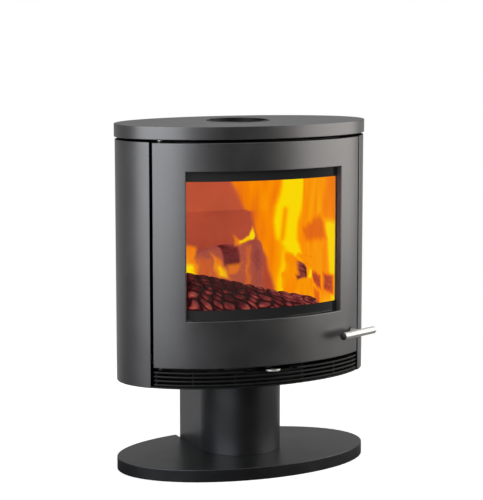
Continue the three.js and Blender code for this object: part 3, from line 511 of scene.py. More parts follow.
def window_loop(shrink, reach, inset, top_steps=84, side_steps=30):
    """A rectangle on the oval: the door's edge less shrink where reach is None, or the window's edge plus reach."""
    if reach is None:
        slope = math.hypot(BODY[0] * math.cos(DOOR_END), BODY[1] * math.sin(DOOR_END))
        half = DOOR_END - shrink / slope
        low, high = DOOR_LOW + shrink, DOOR_HIGH - shrink
    else:
        half = angle_at(WINDOW_HALF + reach)
        low, high = WINDOW_LOW - reach, WINDOW_HIGH + reach
    top = np.linspace(-half, half, top_steps, endpoint=False)
    angle = np.r_[top, np.full(side_steps, half), -top, np.full(side_steps, -half)]
    down, up = (np.linspace(*span, side_steps, endpoint=False) for span in ((high, low), (low, high)))
    height = np.r_[np.full(top_steps, high), down, np.full(top_steps, low), up]
    return angle, height, inset


def between(first, last, inset, steps):
    """Loops that go in even steps from one loop to another, all at one inset."""
    shares = np.linspace(0, 1, steps)
    return [((1 - f) * first[0] + f * last[0], (1 - f) * first[1] + f * last[1], inset) for f in shares]


def door_skin():
    """The curved door: rings from its edge over the front to the window, down the jamb, round the rebate and back."""
    rim = [(0, DOOR_THICKNESS - 0.6), (0, 3), (0, 1.5), (0.12, 0.9), (0.44, 0.44), (0.9, 0.12), (1.5, 0)]
    rings = [window_loop(shrink, None, inset) for shrink, inset in rim]
    seat, lap = GLASS_INSET - SEAT_GAP, GLASS_LAP + SEAT_GAP
    jamb_steps = [
        (1.2, 0), (0.7, 0.1), (0.35, 0.35), (0.1, 0.7), (0, 1.2), (0, 2.6), (0, seat), (lap, seat),
        (lap, DOOR_THICKNESS - 0.4),
    ]
    jamb = [window_loop(0, reach, inset) for reach, inset in jamb_steps]
    front = between(window_loop(3.0, None, 0.0), window_loop(0.0, 2.6, 0.0), 0.0, 12)
    back = between(window_loop(0, GLASS_LAP + 1.0, 0.0), window_loop(0.6, None, 0.0), DOOR_THICKNESS, 9)
    grid = [np.c_[(*oval(angle, inset), height)] for angle, height, inset in rings + front + jamb + back]
    return grid_part(np.array(grid), wrap_rows=True, wrap_cols=True)


piece("door_skin", [door_skin()], stove_paint, "door_panel", "door")

panel_section = box_section(0, PANEL_THICKNESS, BODY_BOTTOM, BODY_TOP, 0.7)
lap_section = box_section(3.2, 4.4, BODY_BOTTOM + 2, BODY_TOP - 2, 0.3)
for side, sign in zip(sides, (-1, 1)):
    panel_angles = np.sort(sign * np.linspace(PANEL_FROM, PANEL_TO, 72))
    # A thin strip behind the joint with the rear panel, so that no daylight shows through it.
    lap_angles = np.sort(sign * np.linspace(PANEL_TO - 0.02, BACK_FROM + 0.02, 8))
    shell = [swept(panel_section, panel_angles), swept(lap_section, lap_angles)]
    piece(f"side_shell_{side}", shell, stove_paint, f"side_panel_{side}")


def back_shell():
    """The rear panel: an open sheet of angle and height without the vents' cells, which Solidify makes thick. Three
    columns to each web keep the shading even."""
    web = VENT_PITCH - VENT_WIDTH
    middles = (np.arange(VENT_COUNT) - (VENT_COUNT - 1) / 2)[:, None] * VENT_PITCH
    half = VENT_WIDTH / 2
    vent_x = (middles + np.r_[-half, half, half + web / 3, half + web * 2 / 3]).ravel()[:-2]
    vent_angle = math.pi - angle_at(vent_x)[::-1]
    plain = np.linspace(BACK_FROM, vent_angle[0], 25)[:-1]
    angles = np.r_[plain, vent_angle, 2 * math.pi - plain[::-1]]
    lows = [BODY_BOTTOM + VENT_EDGE, BODY_TOP - VENT_EDGE - VENT_HEIGHT]
    rows = [(low - 2, low, low + VENT_HEIGHT, low + VENT_HEIGHT + 2) for low in lows]
    heights = np.r_[BODY_BOTTOM, np.ravel(rows), BODY_TOP]
    points, faces = grid_part(np.stack(np.broadcast_arrays(*oval(angles), heights[:, None]), -1))
    row, col = np.divmod(np.arange(len(faces)), len(angles) - 1)
    open_cell = np.isin(row, VENT_ROWS) & np.isin(col, len(plain) + 4 * np.arange(VENT_COUNT))
    return points, [face for face, is_open in zip(faces, open_cell) if not is_open]


back = piece("back_shell", [back_shell()], stove_paint, "back_panel", closed=False)
thickness = back.modifiers.new("thickness", "SOLIDIFY")
thickness.thickness = PANEL_THICKNESS * MM
thickness.offset = -1.0


def top_shell():
    """The lid: rings from the flue hole out to the edge, down its side, and back under the hollow."""
    turn = np.linspace(0, 2 * math.pi, 240, endpoint=False)
    hole = np.c_[(FLUE_RADIUS + 1) * np.sin(turn), FLUE_Y - (FLUE_RADIUS + 1) * np.cos(turn)]
    low, high = TOP_PLATE
    under = high - TOP_WALL
    radius = 1.5

    def ring(share, inset, height):
        edge = np.c_[oval(turn, inset, TOP_OVAL)]
        return np.c_[(1 - share) * hole + share * edge, np.full(len(turn), height)]

    rings = [ring(0, 4, under), ring(0, 4, high - 0.8), ring(0.004, 4, high)]
    rings += [ring(share, 4, high) for share in (0.03, 0.25, 0.5, 0.75, 1)]
    rings += [ring(1, inset, high - depth) for inset, depth in edge_steps(radius)]
    rings += [ring(1, 0, high - 4), ring(1, 0, low + 3)]
    rings += [ring(1, inset, low + depth) for depth, inset in edge_steps(radius, 4)]
    rings += [ring(1, TOP_WALL, low), ring(1, TOP_WALL, under), ring(0.5, TOP_WALL, under)]
    return grid_part(np.array(rings), wrap_rows=True, wrap_cols=True)


boss_top = TOP_PLATE[1] - TOP_WALL + 1
boss_profile = [(0, BODY_TOP), (BOSS_RADIUS, BODY_TOP), (BOSS_RADIUS, boss_top), (0, boss_top)]
bosses = [revolved(boss_profile, (x, y, 0), steps=28) for x in (-BOSS_X, BOSS_X) for y in (-BOSS_Y, BOSS_Y)]
piece("top_lid", [top_shell()] + bosses, stove_paint, "top_plate")

foot_top = BODY_TOP + COLLAR_FOOT_HEIGHT
collar_corners = [(FLUE_BORE, BODY_TOP), (COLLAR_FOOT_RADIUS, BODY_TOP), (COLLAR_FOOT_RADIUS, foot_top)]
collar_corners += [(FLUE_RADIUS, foot_top), (FLUE_RADIUS, FLUE_TOP), (FLUE_BORE, FLUE_TOP)]
collar = revolved(rounded(collar_corners, 0.9), (0, FLUE_Y, 0), steps=144)
piece("flue_ring", [collar], black_paint, "flue_collar")

# ---- pedestal


def base_outline():
    """The floor plate's oval round the front, from one side of its stepped rear notch to the other, and the notch."""
    half = math.pi - math.asin(NOTCH_WIDE / BASE_OVAL[0])
    round_part = np.c_[oval(np.linspace(half, -half, 240), 0.0, BASE_OVAL)]
    right = np.array([(NOTCH_NARROW, NOTCH_FRONT_Y), (NOTCH_NARROW, NOTCH_BACK_Y), (NOTCH_WIDE, NOTCH_BACK_Y)])
    return np.r_[round_part, right[::-1] * (-1, 1), right]


def column_outline(outer, inner):
    """A U in plan, open at the back: an outer and an inner line, each two straights and a half circle."""
    turn = np.linspace(0, math.pi, 90)
    lines = []
    for inset in (outer, inner):
        radius = COLUMN_HALF - inset
        bend = np.c_[radius * np.cos(turn), COLUMN_CENTRE_Y - radius * np.sin(turn)]
        lines.append(np.r_[[(radius, COLUMN_BACK_Y)], bend, [(-radius, COLUMN_BACK_Y)]])
    return np.r_[lines[0], lines[1][::-1]]


piece("floor_plate", [slab(base_outline(), 0.0, BASE_TOP, 1.6)], base_paint_with_painted_shade, "base_plate")
flange = column_outline(COLUMN_WALL / 2, COLUMN_WALL + FLANGE_WIDTH)
column = [
    slab(column_outline(0.0, COLUMN_WALL), BASE_TOP, BODY_BOTTOM, 0.4),
    slab(flange, BASE_TOP, BASE_TOP + FLANGE_THICKNESS, 0.4),
    slab(flange, BODY_BOTTOM - FLANGE_THICKNESS, BODY_BOTTOM, 0.4),
]
piece("pedestal", column, base_paint_with_painted_shade, "pedestal_column")

# ---- grille, knob and handle


def grille_parts():
    """Four curved slats, the top one with a gap for the lever, and six uprights behind them."""
    parts = []
    for i in range(SLAT_COUNT):
        low = SLAT_FIRST_Z + i * SLAT_PITCH
        section = box_section(SLAT_INSET, SLAT_INSET + SLAT_DEPTH, low, low + SLAT_THICKNESS, 1.3)
        spans = [(-DOOR_END, DOOR_END)]
        if i == SLAT_COUNT - 1:
            spans = [(-DOOR_END, angle_at(SLOT_X[0])), (angle_at(SLOT_X[1]), DOOR_END)]
        parts += [swept(section, np.linspace(*span, 90)) for span in spans]
    top = low + SLAT_THICKNESS / 2
    post = box_section(8, 13, BODY_BOTTOM + 4, top, 0.4)
    for degrees in (-56.2, -36, -16, 16, 36, 56.2):
        middle = math.radians(degrees)
        parts.append(swept(post, np.linspace(middle - 2 / BODY[0], middle + 2 / BODY[0], 3), end_radius=0.2))
    return parts


piece("grille_slats", grille_parts(), black_paint, "front_grille")

knob_turn = np.linspace(0, math.pi, 40)
knob_outline = np.c_[KNOB_X + KNOB_HALF_WIDTH * np.cos(knob_turn), KNOB_Y - KNOB_DEPTH * np.sin(knob_turn)]
knob = slab(knob_outline, KNOB_LOW, KNOB_HIGH, 0.9)
piece("air_tongue", [knob], satin_steel, "air_knob", "air_control")

handle_foot = np.r_[oval(angle_at(HANDLE_X)), HANDLE_Z]
outward = np.array([math.sin(HANDLE_TURN), -math.cos(HANDLE_TURN), 0.0])
along = np.array([math.cos(HANDLE_TURN), math.sin(HANDLE_TURN), 0.0])
bar_centre = handle_foot + HANDLE_STAND_OFF * outward
bar_corners = [(BAR_RADIUS, BAR_FROM), (BAR_RADIUS, BAR_TO), (0, BAR_TO), (0, BAR_FROM)]
bar_profile = np.r_[[(0, BAR_FROM)], rounded(bar_corners, 1.3)[:12], [(0, BAR_TO)]]
bar = revolved(bar_profile, bar_centre, along)
piece("handle_rod", [bar], satin_steel, "handle_bar", "handle")
cap_start = BAR_FROM - SEAT_GAP
cap_profile = [
    (0, CAP_END), (7.6, CAP_END), (8.5, CAP_END + 0.4), (BAR_RADIUS, CAP_END + 1.2), (BAR_RADIUS, cap_start),
    (0, cap_start),
]
cap = revolved(cap_profile, bar_centre, along)
piece("handle_tip", [cap], black_plastic, "handle_end_cap", "handle")
post_end = POST_BACK + SEAT_GAP
post_profile = [(0, post_end), (5, post_end), (5, POST_STEP), (6, POST_STEP)]
post_profile += [(6, POST_FRONT - 0.8), (5.6, POST_FRONT), (0, POST_FRONT)]
post = revolved(post_profile, handle_foot, outward, 48)
piece("handle_stem", [post], satin_steel, "handle_post", "handle")

pin_profiles = {
    "top": [(0, 799), (4, 799), (4, 822.3), (6.0, 822.3), (6.5, 822.8), (6.5, 823.6), (6.0, 824.1), (0, 824.1)],
    "bottom": [(0, 272.5), (4, 272.5), (4, 275.8), (6.5, 275.8), (6.5, 276.2), (4, 276.2), (4, 295.5), (0, 295.5)],
}
for end, profile in pin_profiles.items():
    pin = revolved(profile, (*HINGE, 0), steps=36)
    piece(f"pivot_{end}", [pin], satin_steel, f"hinge_pin_{end}")

glass_edge = angle_at(WINDOW_HALF + GLASS_LAP)
glass_low, glass_high = WINDOW_LOW - GLASS_LAP, WINDOW_HIGH + GLASS_LAP
glass_section = box_section(GLASS_INSET, DOOR_THICKNESS, glass_low, glass_high, 0.5)
pane = swept(glass_section, np.linspace(-glass_edge, glass_edge, 90), end_radius=0.3)
piece("window_glass", [pane], ceramic_glass, "door_glass", "door")

# ---- firewood


def block_pattern(u, v, width, height, seed, roundness=(6.0, 5.0), spread=(0.8, 1.25)):
    """Charred blocks in stacked columns. p and q are the places in a block from -0.5 to 0.5, and its height is
    (1-|2p|^a)(1-|2q|^b), with a and b from roundness. Returns the height, a random tone per block, p and q."""
    u = u + 0.28 * width * waves(seed, 2.4 * height, v, 0.3 * u)
    v = v + 0.3 * height * waves(seed + 1, 2.2 * width, u, 0.6 * v)
    draw = np.random.default_rng(seed)
    shifts = draw.uniform(0, 1, 64)
    stretch = draw.uniform(*spread, 64)
    column = np.floor(u / width).astype(int)
    p = u / width - column - 0.5
    row_place = v / (height * stretch[column % 64]) + shifts[column % 64]
    row = np.floor(row_place).astype(int)
    q = row_place - row - 0.5
    tones = draw.uniform(0, 1, (64, 64))
    crown = (1 - np.abs(2 * p) ** roundness[0]) * (1 - np.abs(2 * q) ** roundness[1])
    return unit(crown), tones[column % 64, row % 64], p, q


def log_piece(name, node, left, right, relief, squareness, seed, pattern, glow, steps):
    """A log along x between its ends left and right (x, y, half thickness, half height): its section is a
    superellipse, the pattern's blocks stand out of it by relief, and it stores its glow."""
    share = np.linspace(0, 1, steps[0])[:, None]
    turn = np.linspace(0, 2 * math.pi, steps[1], endpoint=False)[None, :]
    (x0, y0, d0, h0), (x1, y1, d1, h1) = left, right
    half_depth, half_height = d0 + (d1 - d0) * share, h0 + (h1 - h0) * share
    across, upward = (np.sign(way) * np.abs(way) ** (2 / squareness) for way in (np.cos(turn), np.sin(turn)))
    length = x1 - x0
    along_log = share * length + 0 * turn
    round_log = turn * (half_depth + half_height) / 2
    blocks = pattern(along_log, round_log, seed)
    swell = 1 + 0.035 * waves(seed + 5, 130.0, along_log, round_log)
    end_fall = unit(np.minimum(share, 1 - share) * length / 7.0) ** 0.5
    push = relief * (blocks[0] - 1) - (1 - end_fall) * 6.0
    y = y0 + (y1 - y0) * share + (half_depth * swell + push) * across
    low = FIRE_BED + SEAT_GAP
    z = np.maximum(low + half_height + (half_height * swell * 0.985 + push) * upward, low)
    x = x0 + length * share + 0 * y
    shape = grid_part(np.stack([x, y, z], -1), wrap_cols=True, cap_rows=True)
    piece(name, [shape], burning_wood, node, sharp=70.0, fields={"glow": glow(x, z, *blocks)})


def small_blocks(u, v, seed):
    """Rounded blocks that are twice as long as wide, for the front and the corner log."""
    return block_pattern(u, v, 31.0, 13.5, seed, (2.8, 2.0), (0.7, 1.35))


def split_wood(u, v, seed):
    """Long shallow splits along the log, seven times as long as wide: their height and a slow tone."""
    crown = unit(0.8 + 0.2 * waves(seed, 22.0, 0.15 * u, v) + 0.1 * waves(seed + 1, 9.0, 0.15 * u, v))
    return crown, unit(0.5 + 0.35 * waves(seed + 2, 70.0, u, v))


def front_glow(x, z, crown, tone, p, q):
    """Dull red blocks, brighter low down and to the right as painted firelight, each with a painted highlight on its
    upper face (rim). Waves dim them (gloom) and widen their dark cracks (sink), and a few cracks at the right glow
    (split)."""
    line = 500.0 - (x + 176) * 0.25
    depth = unit((line - z) / 60.0)
    right = unit((x + 60) / 200.0)
    # Painted firelight: the blocks brighter low down and to the right.
    lit = np.maximum(depth, right)
    # A painted highlight on each block's upper face.
    rim = np.exp(-(((q - 0.2) / 0.14) ** 2)) * np.exp(-(((p + 0.05) / 0.3) ** 2))
    face = 0.07 + 0.12 * depth + 0.4 * tone * (0.25 + 0.75 * lit) + 0.2 * right + (0.1 + 0.16 * lit) * rim
    gloom = np.clip(0.8 + 0.4 * waves(71, 38.0, x, z), 0.3, 1.15)
    sink = np.clip(1.7 + 0.9 * waves(72, 24.0, x, z), 0.7, 3.0)
    heat = unit(face * gloom) * unit(crown * 1.6) ** sink
    split = unit(1.0 - 3.0 * crown) * right * unit(1.2 - 2.0 * depth) * (tone > 0.55)
    return unit(heat + (1.0 - heat) * split)


def rear_glow(x, z, crown, tone):
    """Orange-red wood with a dark top edge, one dark square, a duller streak, and slightly darker splits."""
    heat = 0.74 + 0.16 * (tone - 0.5) + 0.05 * waves(3, 60.0, x, z) + 0.05 * unit((-60 - x) / 60.0)
    top = 532.0 + 0.1226 * (x + 150.0)
    heat -= 0.2 * np.exp(-(((top - z) / 6.0) ** 2)) * unit((-20 - x) / 20.0)
    square = np.clip(1.4 - np.maximum(np.abs(x + 27) / 19.0, np.abs(z - 521) / 20.0), 0, 0.4) / 0.4
    heat -= 0.42 * square
    heat -= 0.16 * np.exp(-(((x - 42) / 12.0) ** 2)) * unit((z - 430) / 60.0)
    return unit(heat * (0.88 + 0.12 * unit(crown * 2.2)))


def corner_glow(x, z, crown, tone, *_):
    """Red-brown faces with dark cracks."""
    heat = 0.52 + 0.3 * (tone - 0.5) + 0.08 * waves(9, 50.0, x, z)
    return unit(heat * (0.45 + 0.55 * unit(crown * 1.6)))


front_ends = (-176, -62, 38, 75), (178, -62, 26, 31)
rear_ends = (-150, 22, 34, 90), (62, 34, 38, 103)
corner_ends = (142, 8, 24, 74), (176, 3, 22, 70)
log_piece("burning_log_front", "log_front", *front_ends, 6.0, 2.3, 11, small_blocks, front_glow, (300, 200))
log_piece("burning_log_rear", "log_rear_left", *rear_ends, 3.0, 3.2, 23, split_wood, rear_glow, (230, 170))
log_piece("burning_log_corner", "log_rear_right", *corner_ends, 3.5, 3.0, 31, small_blocks, corner_glow, (90, 150))


def ember_bed():
    """Ash and embers: a closed mound of waves and blocks that falls to the bed at its edges, and its glow."""
    u, v = np.meshgrid(np.linspace(-BED_HALF, BED_HALF, 220), np.linspace(BED_FRONT, BED_BACK, 130), indexing="ij")
    crown, tone, _, _ = block_pattern(u, v, 15.0, 13.0, 41)
    edge = np.minimum(BED_HALF - np.abs(u), np.minimum(v - BED_FRONT, BED_BACK - v))
    rise = (4.0 + 3.5 * waves(43, 70.0, u, v) + 5.0 * crown * tone) * unit(edge / 12.0)
    floor = np.full(u.shape, FIRE_BED + 0.4)
    top = np.stack([u, v, floor + np.maximum(rise, 0)], -1)
    bottom = np.stack([u, v, floor], -1)
    heat = unit(crown * (0.25 + 0.7 * tone))
    return [grid_part(top), grid_part(bottom[::-1])], np.r_[heat.ravel(), heat[::-1].ravel()]


bed_parts, bed_heat = ember_bed()
piece("ember_bed", bed_parts, burning_wood, sharp=60.0, fields={"glow": bed_heat})

# ---- flames

FLAME_BULGE = 3.0


def soft_inside(s, z, corners, soft):
    """1 inside a convex polygon given anticlockwise, falling to 0 over soft millimetres across its edges."""
    corners = np.asarray(corners, float)
    least = np.full(np.broadcast(s, z).shape, 1e9)
    for start, end in zip(corners, np.roll(corners, -1, axis=0)):
        edge = (end - start) / np.linalg.norm(end - start)
        least = np.minimum(least, edge[0] * (z - start[1]) - edge[1] * (s - start[0]))
    return smooth(least / soft + 0.5)


def streak(s, z, spine, width, soft=1.0):
    """A streak along rising (z, s) points: exp(-|(s - spine(z)) / width(z)|^(2/soft)), fading over 12 mm past its
    ends."""
    levels, places = np.array(spine, float).T
    centre = np.interp(z, levels, places)
    spread = np.interp(z, levels, np.broadcast_to(width, levels.shape))
    ends = unit((z - levels[0]) / 12.0 + 1) * unit((levels[-1] - z) / 12.0 + 1)
    return np.exp(-np.abs((s - centre) / spread) ** (2 / soft)) * ends


# The curtain in millimetres along the wall (s) and up (z). Edges are heights z with their s, the column has a left
# and a right one, and the streak has (z, s) points with widths.
CURTAIN_LEFT = (
    [352, 390, 421, 467, 499, 536, 574, 618, 625, 667, 700, 724],
    [214, 210, 204, 186, 180, 160, 147, 142, 121, 102, 84, 70],
)
COLUMN_EDGES = (
    [487, 500, 523, 545, 590, 629, 687, 724],
    [292, 256, 232, 210, 198, 199, 213, 216],
    [304, 300, 288, 277, 276, 286, 298, 300],
)
LOWER_STREAK = ([(395, 224), (428, 222), (457, 227), (483, 232), (530, 246)], [9, 13, 15, 15, 26])
SIDE_EDGE = ([400, 450, 500, 560, 596, 617], [436, 430, 426, 421, 413, 404])
# Anticlockwise corners (s, z) of the gap, and of the glowing wood with its share and softness.
CURTAIN_GAP = [(293, 575), (311, 546), (420, 566), (414, 606), (389, 622)]
CURTAIN_EMBERS = [
    ([(349, 477), (360, 445), (404, 434), (396, 470)], 1.0, 13.0),
    ([(412, 480), (418, 436), (446, 428), (446, 474)], 1.0, 13.0),
    ([(360, 432), (372, 392), (398, 392), (392, 428)], 0.7, 14.0),
]


def curtain_fields(s, z):
    """Heat and cover of the flames along the walls: orange with upright streaks, a yellow column with a lower streak,
    a bright right edge, a duller gap, and glowing wood with a spark."""
    wander = 5.0 * waves(51, 120.0, s, 0.45 * z) + 2.5 * waves(52, 45.0, s, 0.3 * z)
    left = np.interp(z, *CURTAIN_LEFT)
    cover = smooth((s + 0.5 * wander - left) / 16.0 + 0.4)
    heat = 0.5 + 0.09 * unit((s - 250) / 80) + 0.06 * waves(53, 90.0, s, 0.25 * z)
    heat += 0.07 * waves(54, 24.0, s, 0.15 * z) + 0.03 * waves(55, 9.0, s, 0.08 * z)
    heat -= 0.16 * (1 - unit((s - left) / 46.0)) * np.clip((z - 470) / 90.0, 0.35, 1)
    heat -= 0.12 * unit((s - 405) / 25.0) * unit((z - 600) / 50.0)
    rows, from_s, to_s = COLUMN_EDGES
    into = np.minimum(s + wander - np.interp(z, rows, from_s), np.interp(z, rows, to_s) - s - wander)
    column = smooth(unit(into / 24.0 + 0.38) * unit((z - 480) / 14.0))
    heat += (1.0 - heat) * 0.95 * column
    heat -= 0.3 * streak(s, z, [(545, 226), (620, 234)], 7.0)
    lower = streak(s + 0.5 * wander, z, *LOWER_STREAK, 0.8)
    heat += (0.98 - heat) * 0.85 * lower * unit(1.15 - (z - 395) / 400.0)
    side = unit((s - np.interp(z, *SIDE_EDGE)) / 10.0)
    heat += (1.0 - heat) * 0.9 * side * unit((622 - z) / 20.0)
    s, z = s + 2.2 * waves(57, 34.0, s, z), z + 2.2 * waves(58, 34.0, s, z)
    heat += (0.17 - heat) * 0.8 * soft_inside(s, z, CURTAIN_GAP, 22.0)
    ember = np.max([share * soft_inside(s, z, corners, soft) for corners, share, soft in CURTAIN_EMBERS], axis=0)
    heat += (0.04 + 0.05 * waves(56, 16.0, s, z) - heat) * 0.95 * ember
    spark = np.exp(-(((s - 342) / 7.0) ** 2) - ((z - 468) / 13.0) ** 2)
    heat += (1.0 - heat) * spark
    low = unit((430 - z) / 40.0) * unit((s - 395) / 25.0)
    heat += (0.93 - heat) * 0.85 * low
    return unit(heat), cover


# The small flames: anticlockwise corners (x, z) in millimetres, heat, cover and softness.
TONGUES = [
    ([(-196, 566), (-196, 470), (-118, 470), (-133, 552)], 0.5, 0.85, 9.0),
    ([(-196, 520), (-196, 470), (-120, 470), (-138, 508)], 0.95, 1.0, 10.0),
    ([(-128, 524), (-116, 476), (-84, 478), (-92, 520)], 0.25, 0.45, 12.0),
    ([(-88, 532), (-78, 476), (-36, 468), (-62, 514)], 0.5, 0.75, 10.0),
    ([(-76, 508), (-72, 474), (-40, 468), (-58, 500)], 0.82, 0.9, 9.0),
    ([(-47, 503), (-43, 474), (-20, 482), (-9, 505)], 0.4, 0.6, 9.0),
    ([(6, 546), (3, 440), (14, 438), (15, 546)], 0.3, 0.55, 7.0),
    ([(-31, 574), (-24, 550), (-9, 551), (-8, 560)], 0.45, 0.8, 7.0),
    ([(-15, 560), (-12, 553), (22, 562), (26, 568), (10, 572)], 0.88, 0.95, 5.0),
    ([(12, 568), (25, 563), (28, 574), (21, 596)], 1.0, 0.95, 5.0),
    ([(104, 474), (104, 372), (154, 372), (151, 446), (137, 476), (120, 484)], 0.55, 1.0, 7.0),
    ([(112, 524), (112, 466), (150, 466), (147, 486), (140, 510), (128, 522)], 0.56, 1.0, 10.0),
    ([(138, 370), (192, 370), (192, 457), (146, 457)], 0.6, 1.0, 6.0),
    ([(170, 455), (192, 455), (192, 486), (182, 480)], 0.72, 1.0, 5.0),
    ([(139, 511), (181, 487), (196, 486), (196, 506), (146, 522)], 0.6, 1.0, 7.0),
    ([(173, 462), (183, 455), (194, 468), (191, 480), (179, 480)], 1.0, 1.0, 5.0),
]
TONGUE_BLUR = 1.35


def tongue_fields(x, z):
    """Heat and cover of the small flames before the rear logs: soft polygons, one over another, swayed by waves."""
    sway = 3.2 * waves(61, 34.0, x, z) + 0.6 * waves(62, 13.0, x, z)
    x, z = x + sway, z + 1.8 * waves(63, 34.0, x, z)
    heat = np.full(x.shape, 0.4)
    cover = np.zeros(x.shape)
    wisps = 0.07 * waves(64, 18.0, x, 0.2 * z)
    for corners, warmth, strength, soft in TONGUES:
        inside = soft_inside(x, z, corners, TONGUE_BLUR * soft)
        heat += (warmth + wisps - heat) * inside
        cover = np.maximum(cover, strength * inside)
    return unit(heat), cover


def flame_sheet(name, path, low, high, columns, rows, look):
    """A thin closed flame on an upright sheet over a path. Cells with no cover are left out, and the clear back
    stands off by FLAME_BULGE times the cover. look gets the arc length, or x where the path is straight along x."""
    path = np.asarray(path, float)
    lengths = np.r_[0, np.cumsum(np.linalg.norm(np.diff(path, axis=0), axis=1))]
    s = np.linspace(0, lengths[-1], columns)
    x, y = np.interp(s, lengths, path[:, 0]), np.interp(s, lengths, path[:, 1])
    slope = np.c_[np.gradient(x), np.gradient(y)]
    slope /= np.linalg.norm(slope, axis=1, keepdims=True)
    behind = np.c_[-slope[:, 1], slope[:, 0]]
    z = np.linspace(low, high, rows)[:, None]
    place = (x[None, :] if lengths[-1] == path[-1, 0] - path[0, 0] else s[None, :]) + 0 * z
    heat, cover = look(place, z + 0 * place)
    solid = cover > 0.015
    cells = solid[:-1, :-1] | solid[1:, :-1] | solid[:-1, 1:] | solid[1:, 1:]
    around = np.zeros((rows + 1, columns + 1), int)
    around[1:-1, 1:-1] = cells
    count = around[:-1, :-1] + around[1:, :-1] + around[:-1, 1:] + around[1:, 1:]
    offset = np.where(count == 4, 0.4 + FLAME_BULGE * cover, 0.0)
    front = np.stack([x + 0 * z, y + 0 * z, z + 0 * x], -1)
    back_side = front.copy()
    back_side[..., :2] += offset[..., None] * behind
    faces = np.array(grid_part(front)[1])[cells.ravel()]
    keep = np.isin(np.arange(rows * columns), faces).reshape(rows, columns)
    faces = (np.cumsum(keep) - 1)[faces]
    parts = [(front[keep], faces.tolist()), (back_side[keep], faces[:, ::-1].tolist())]
    back_cover = np.where(count < 4, cover, 0.0)
    fields = {"warmth": np.r_[heat[keep], heat[keep]], "cover": np.r_[cover[keep], back_cover[keep]]}
    made = piece(name, parts, flame_gas, closed=False, sharp=80.0, fields=fields)
    made.visible_diffuse = False
    made.visible_shadow = False


bend = np.radians(np.linspace(0, 90, 13))
corner = np.c_[140 + 45 * np.sin(bend), 43 + 45 * np.cos(bend)]
wall_path = np.r_[[(-75.0, 88.0)], corner, [(185.0, -84.0), (202.0, -116.0)]]
flame_sheet("flame_curtain", wall_path, 353, 723, 300, 210, curtain_fields)
flame_sheet("flame_tongues", [(-189.0, -21.0), (184.0, -21.0)], 360, 604, 255, 190, tongue_fields)

# ---- studio


def studio_surface(name, parts, build):
    """A floor or wall that isn't part of the stove, with its own small material."""
    shape = piece(name, parts, material(name, build))
    shape.parent = None
    return shape


def background_rays(tree):
    """1 for camera, glossy and transmitted rays: the rays that see the white background."""
    rays = add_node(tree, "LightPath").outputs
    first = math_of(tree, "MAXIMUM", rays["Is Camera Ray"], rays["Is Glossy Ray"])
    return math_of(tree, "MAXIMUM", first, rays["Is Transmission Ray"])


def round_share(tree):
    """The share of a turn round the stove: 0.25 in front, 0.5 at the right, 0.75 behind, 0 or 1 at the left."""
    return wired(tree, "TexGradient", {"Vector": object_place(tree)}, "Fac", gradient_type="RADIAL")


FLOOR_GLOW = 0.55
FLOOR_TONES = [
    (0.0, "#505052"), (0.07, "#444446"), (0.14, "#3c3c3e"), (0.3, "#38383a"), (0.4, "#58585a"), (0.5, "#8c8c8e"),
    (0.62, "#f0f0f0"), (0.84, "#fafafa"), (0.92, "#707072"), (1.0, "#505052"),
]


def pale_floor(tree):
    """Matt board: near white for the camera; for light sent back to the stove pale behind and grey elsewhere."""
    seen = wired(tree, "LightPath", output="Is Camera Ray")
    glow = math_of(tree, "MULTIPLY", seen, FLOOR_GLOW)
    sent_back = ramp(tree, round_share(tree), FLOOR_TONES)
    board_colour = wired(tree, "Mix", {0: seen, 6: sent_back, 7: colour("#f4f4f3")}, 2, data_type="RGBA")
    board = wired(tree, "BsdfDiffuse", {"Color": board_colour})
    light = wired(tree, "Emission", {"Color": colour("#ffffff"), "Strength": glow})
    return wired(tree, "AddShader", {0: board, 1: light})


WALL_TONES = [
    (0.0, "#9a9a9a"), (0.1, "#8a8a8a"), (0.2, "#444444"), (0.25, "#363636"), (0.33, "#363636"), (0.38, "#606060"),
    (0.45, "#a4a4a4"), (0.53, "#b0b0b0"), (0.62, "#dadada"), (0.75, "#b8b8b8"), (0.8, "#c4c4c4"), (0.85, "#c6c6c6"),
    (0.894, "#adadad"), (0.94, "#a4a4a4"), (1.0, "#9a9a9a"),
]


def studio_cloth(tree):
    """The studio's walls: dim in front, brighter at the sides and behind, and dimmer higher up."""
    tone = ramp(tree, round_share(tree), WALL_TONES)
    height = wired(tree, "SeparateXYZ", {0: object_place(tree)}, "Z")
    return wired(tree, "Emission", {"Color": tone, "Strength": mapped(tree, height, 0.3, 1.1, 1.0, 0.55)})


floor_profile = [(0, -6), (1500, -6), (1500, -0.4), (0, -0.4)]
studio_surface("studio_floor", [revolved(floor_profile, (0, 0, 0), steps=96)], pale_floor)
wall_profile = [(0, -2600), (5200, -2600), (5200, 3600), (5190, 3600), (5190, -2590), (0, -2590)]
wall = studio_surface("studio_wall", [revolved(wall_profile, (0, 0, 0), steps=96)], studio_cloth)
wall.visible_camera = False
wall.visible_transmission = False

world = bpy.data.worlds.new("studio")
bpy.context.scene.world = world
world.use_nodes = True
sky = world.node_tree
sky.nodes.clear()
sky_level = mapped(sky, background_rays(sky), 0.0, 1.0, 0.35, 1.0)
sky_light = wired(sky, "Background", {"Color": (1, 1, 1, 1), "Strength": sky_level})
sky.links.new(sky_light, sky.nodes.new("ShaderNodeOutputWorld").inputs["Surface"])


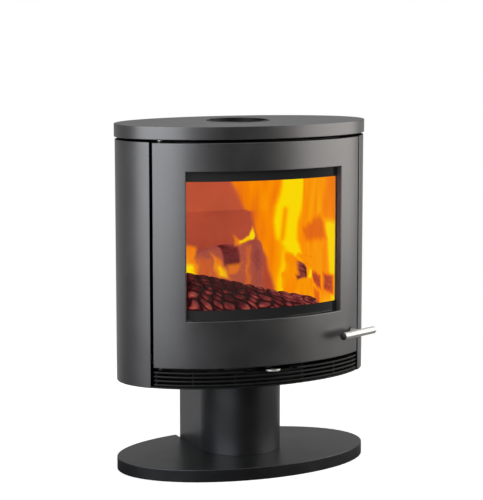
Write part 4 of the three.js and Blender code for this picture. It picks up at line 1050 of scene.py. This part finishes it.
def softbox(name, centre, target, width, height, level, tint):
    """A rectangular lamp facing a target: its power is pi times its area times the level it shows."""
    data = bpy.data.lights.new(name, "AREA")
    data.shape = "RECTANGLE"
    data.size, data.size_y = width, height
    data.energy = math.pi * width * height * level
    data.color = colour(tint)[:3]
    lamp = new_object(name, data)
    lamp.location = centre
    aim = np.array(target) - np.array(centre)
    lamp.rotation_euler = (math.acos(-aim[2] / np.linalg.norm(aim)), 0.0, math.atan2(aim[1], aim[0]) - math.pi / 2)
    lamp.visible_camera = False
    return lamp


BOX_DISTANCE, BOX_HEIGHT, BOX_TARGET = 2.6, 1.18, (0, 0, 0.6)


def beside_stove(degrees):
    """A softbox's place in metres, at an angle from the front towards the right."""
    turn = math.radians(degrees)
    return (BOX_DISTANCE * math.sin(turn), -BOX_DISTANCE * math.cos(turn), BOX_HEIGHT)


softbox("softbox_left", beside_stove(-60), BOX_TARGET, 2.9, 2.3, 2.88, "#fbfcff")
right_box = softbox("softbox_right", beside_stove(66.5), BOX_TARGET, 3.1, 2.3, 2.62, "#fffaf3")
softbox("softbox_top", (0.0, 1.0, 3.2), (0, 0, 0.5), 2.0, 1.6, 0.5, "#ffffff")
# The right softbox stands where the glass would mirror it, so the glass is left out of its light, as a polarising
# filter would do.
shaded = bpy.data.collections.new("not_lit_by_right_box")
shaded.objects.link(bpy.data.objects["window_glass"])
shaded.collection_objects[0].light_linking.link_state = "EXCLUDE"
right_box.light_linking.receiver_collection = shaded

# ---- camera

CAMERA_PLACE = (-1.6667, -3.9643, 1.1465)
CAMERA_TURN, CAMERA_DIP = math.radians(-22.812), math.radians(8.0962)
FOCAL_LENGTH = 125.507
lens = bpy.data.cameras.new("photo_camera")
lens.lens = FOCAL_LENGTH
lens.sensor_width = 36.0
lens.clip_end = 50.0
camera = new_object("photo_camera", lens)
camera.location = CAMERA_PLACE
camera.rotation_euler = (math.pi / 2 - CAMERA_DIP, 0.0, CAMERA_TURN)
bpy.context.scene.camera = camera
bpy.context.scene.view_settings.view_transform = "Standard"
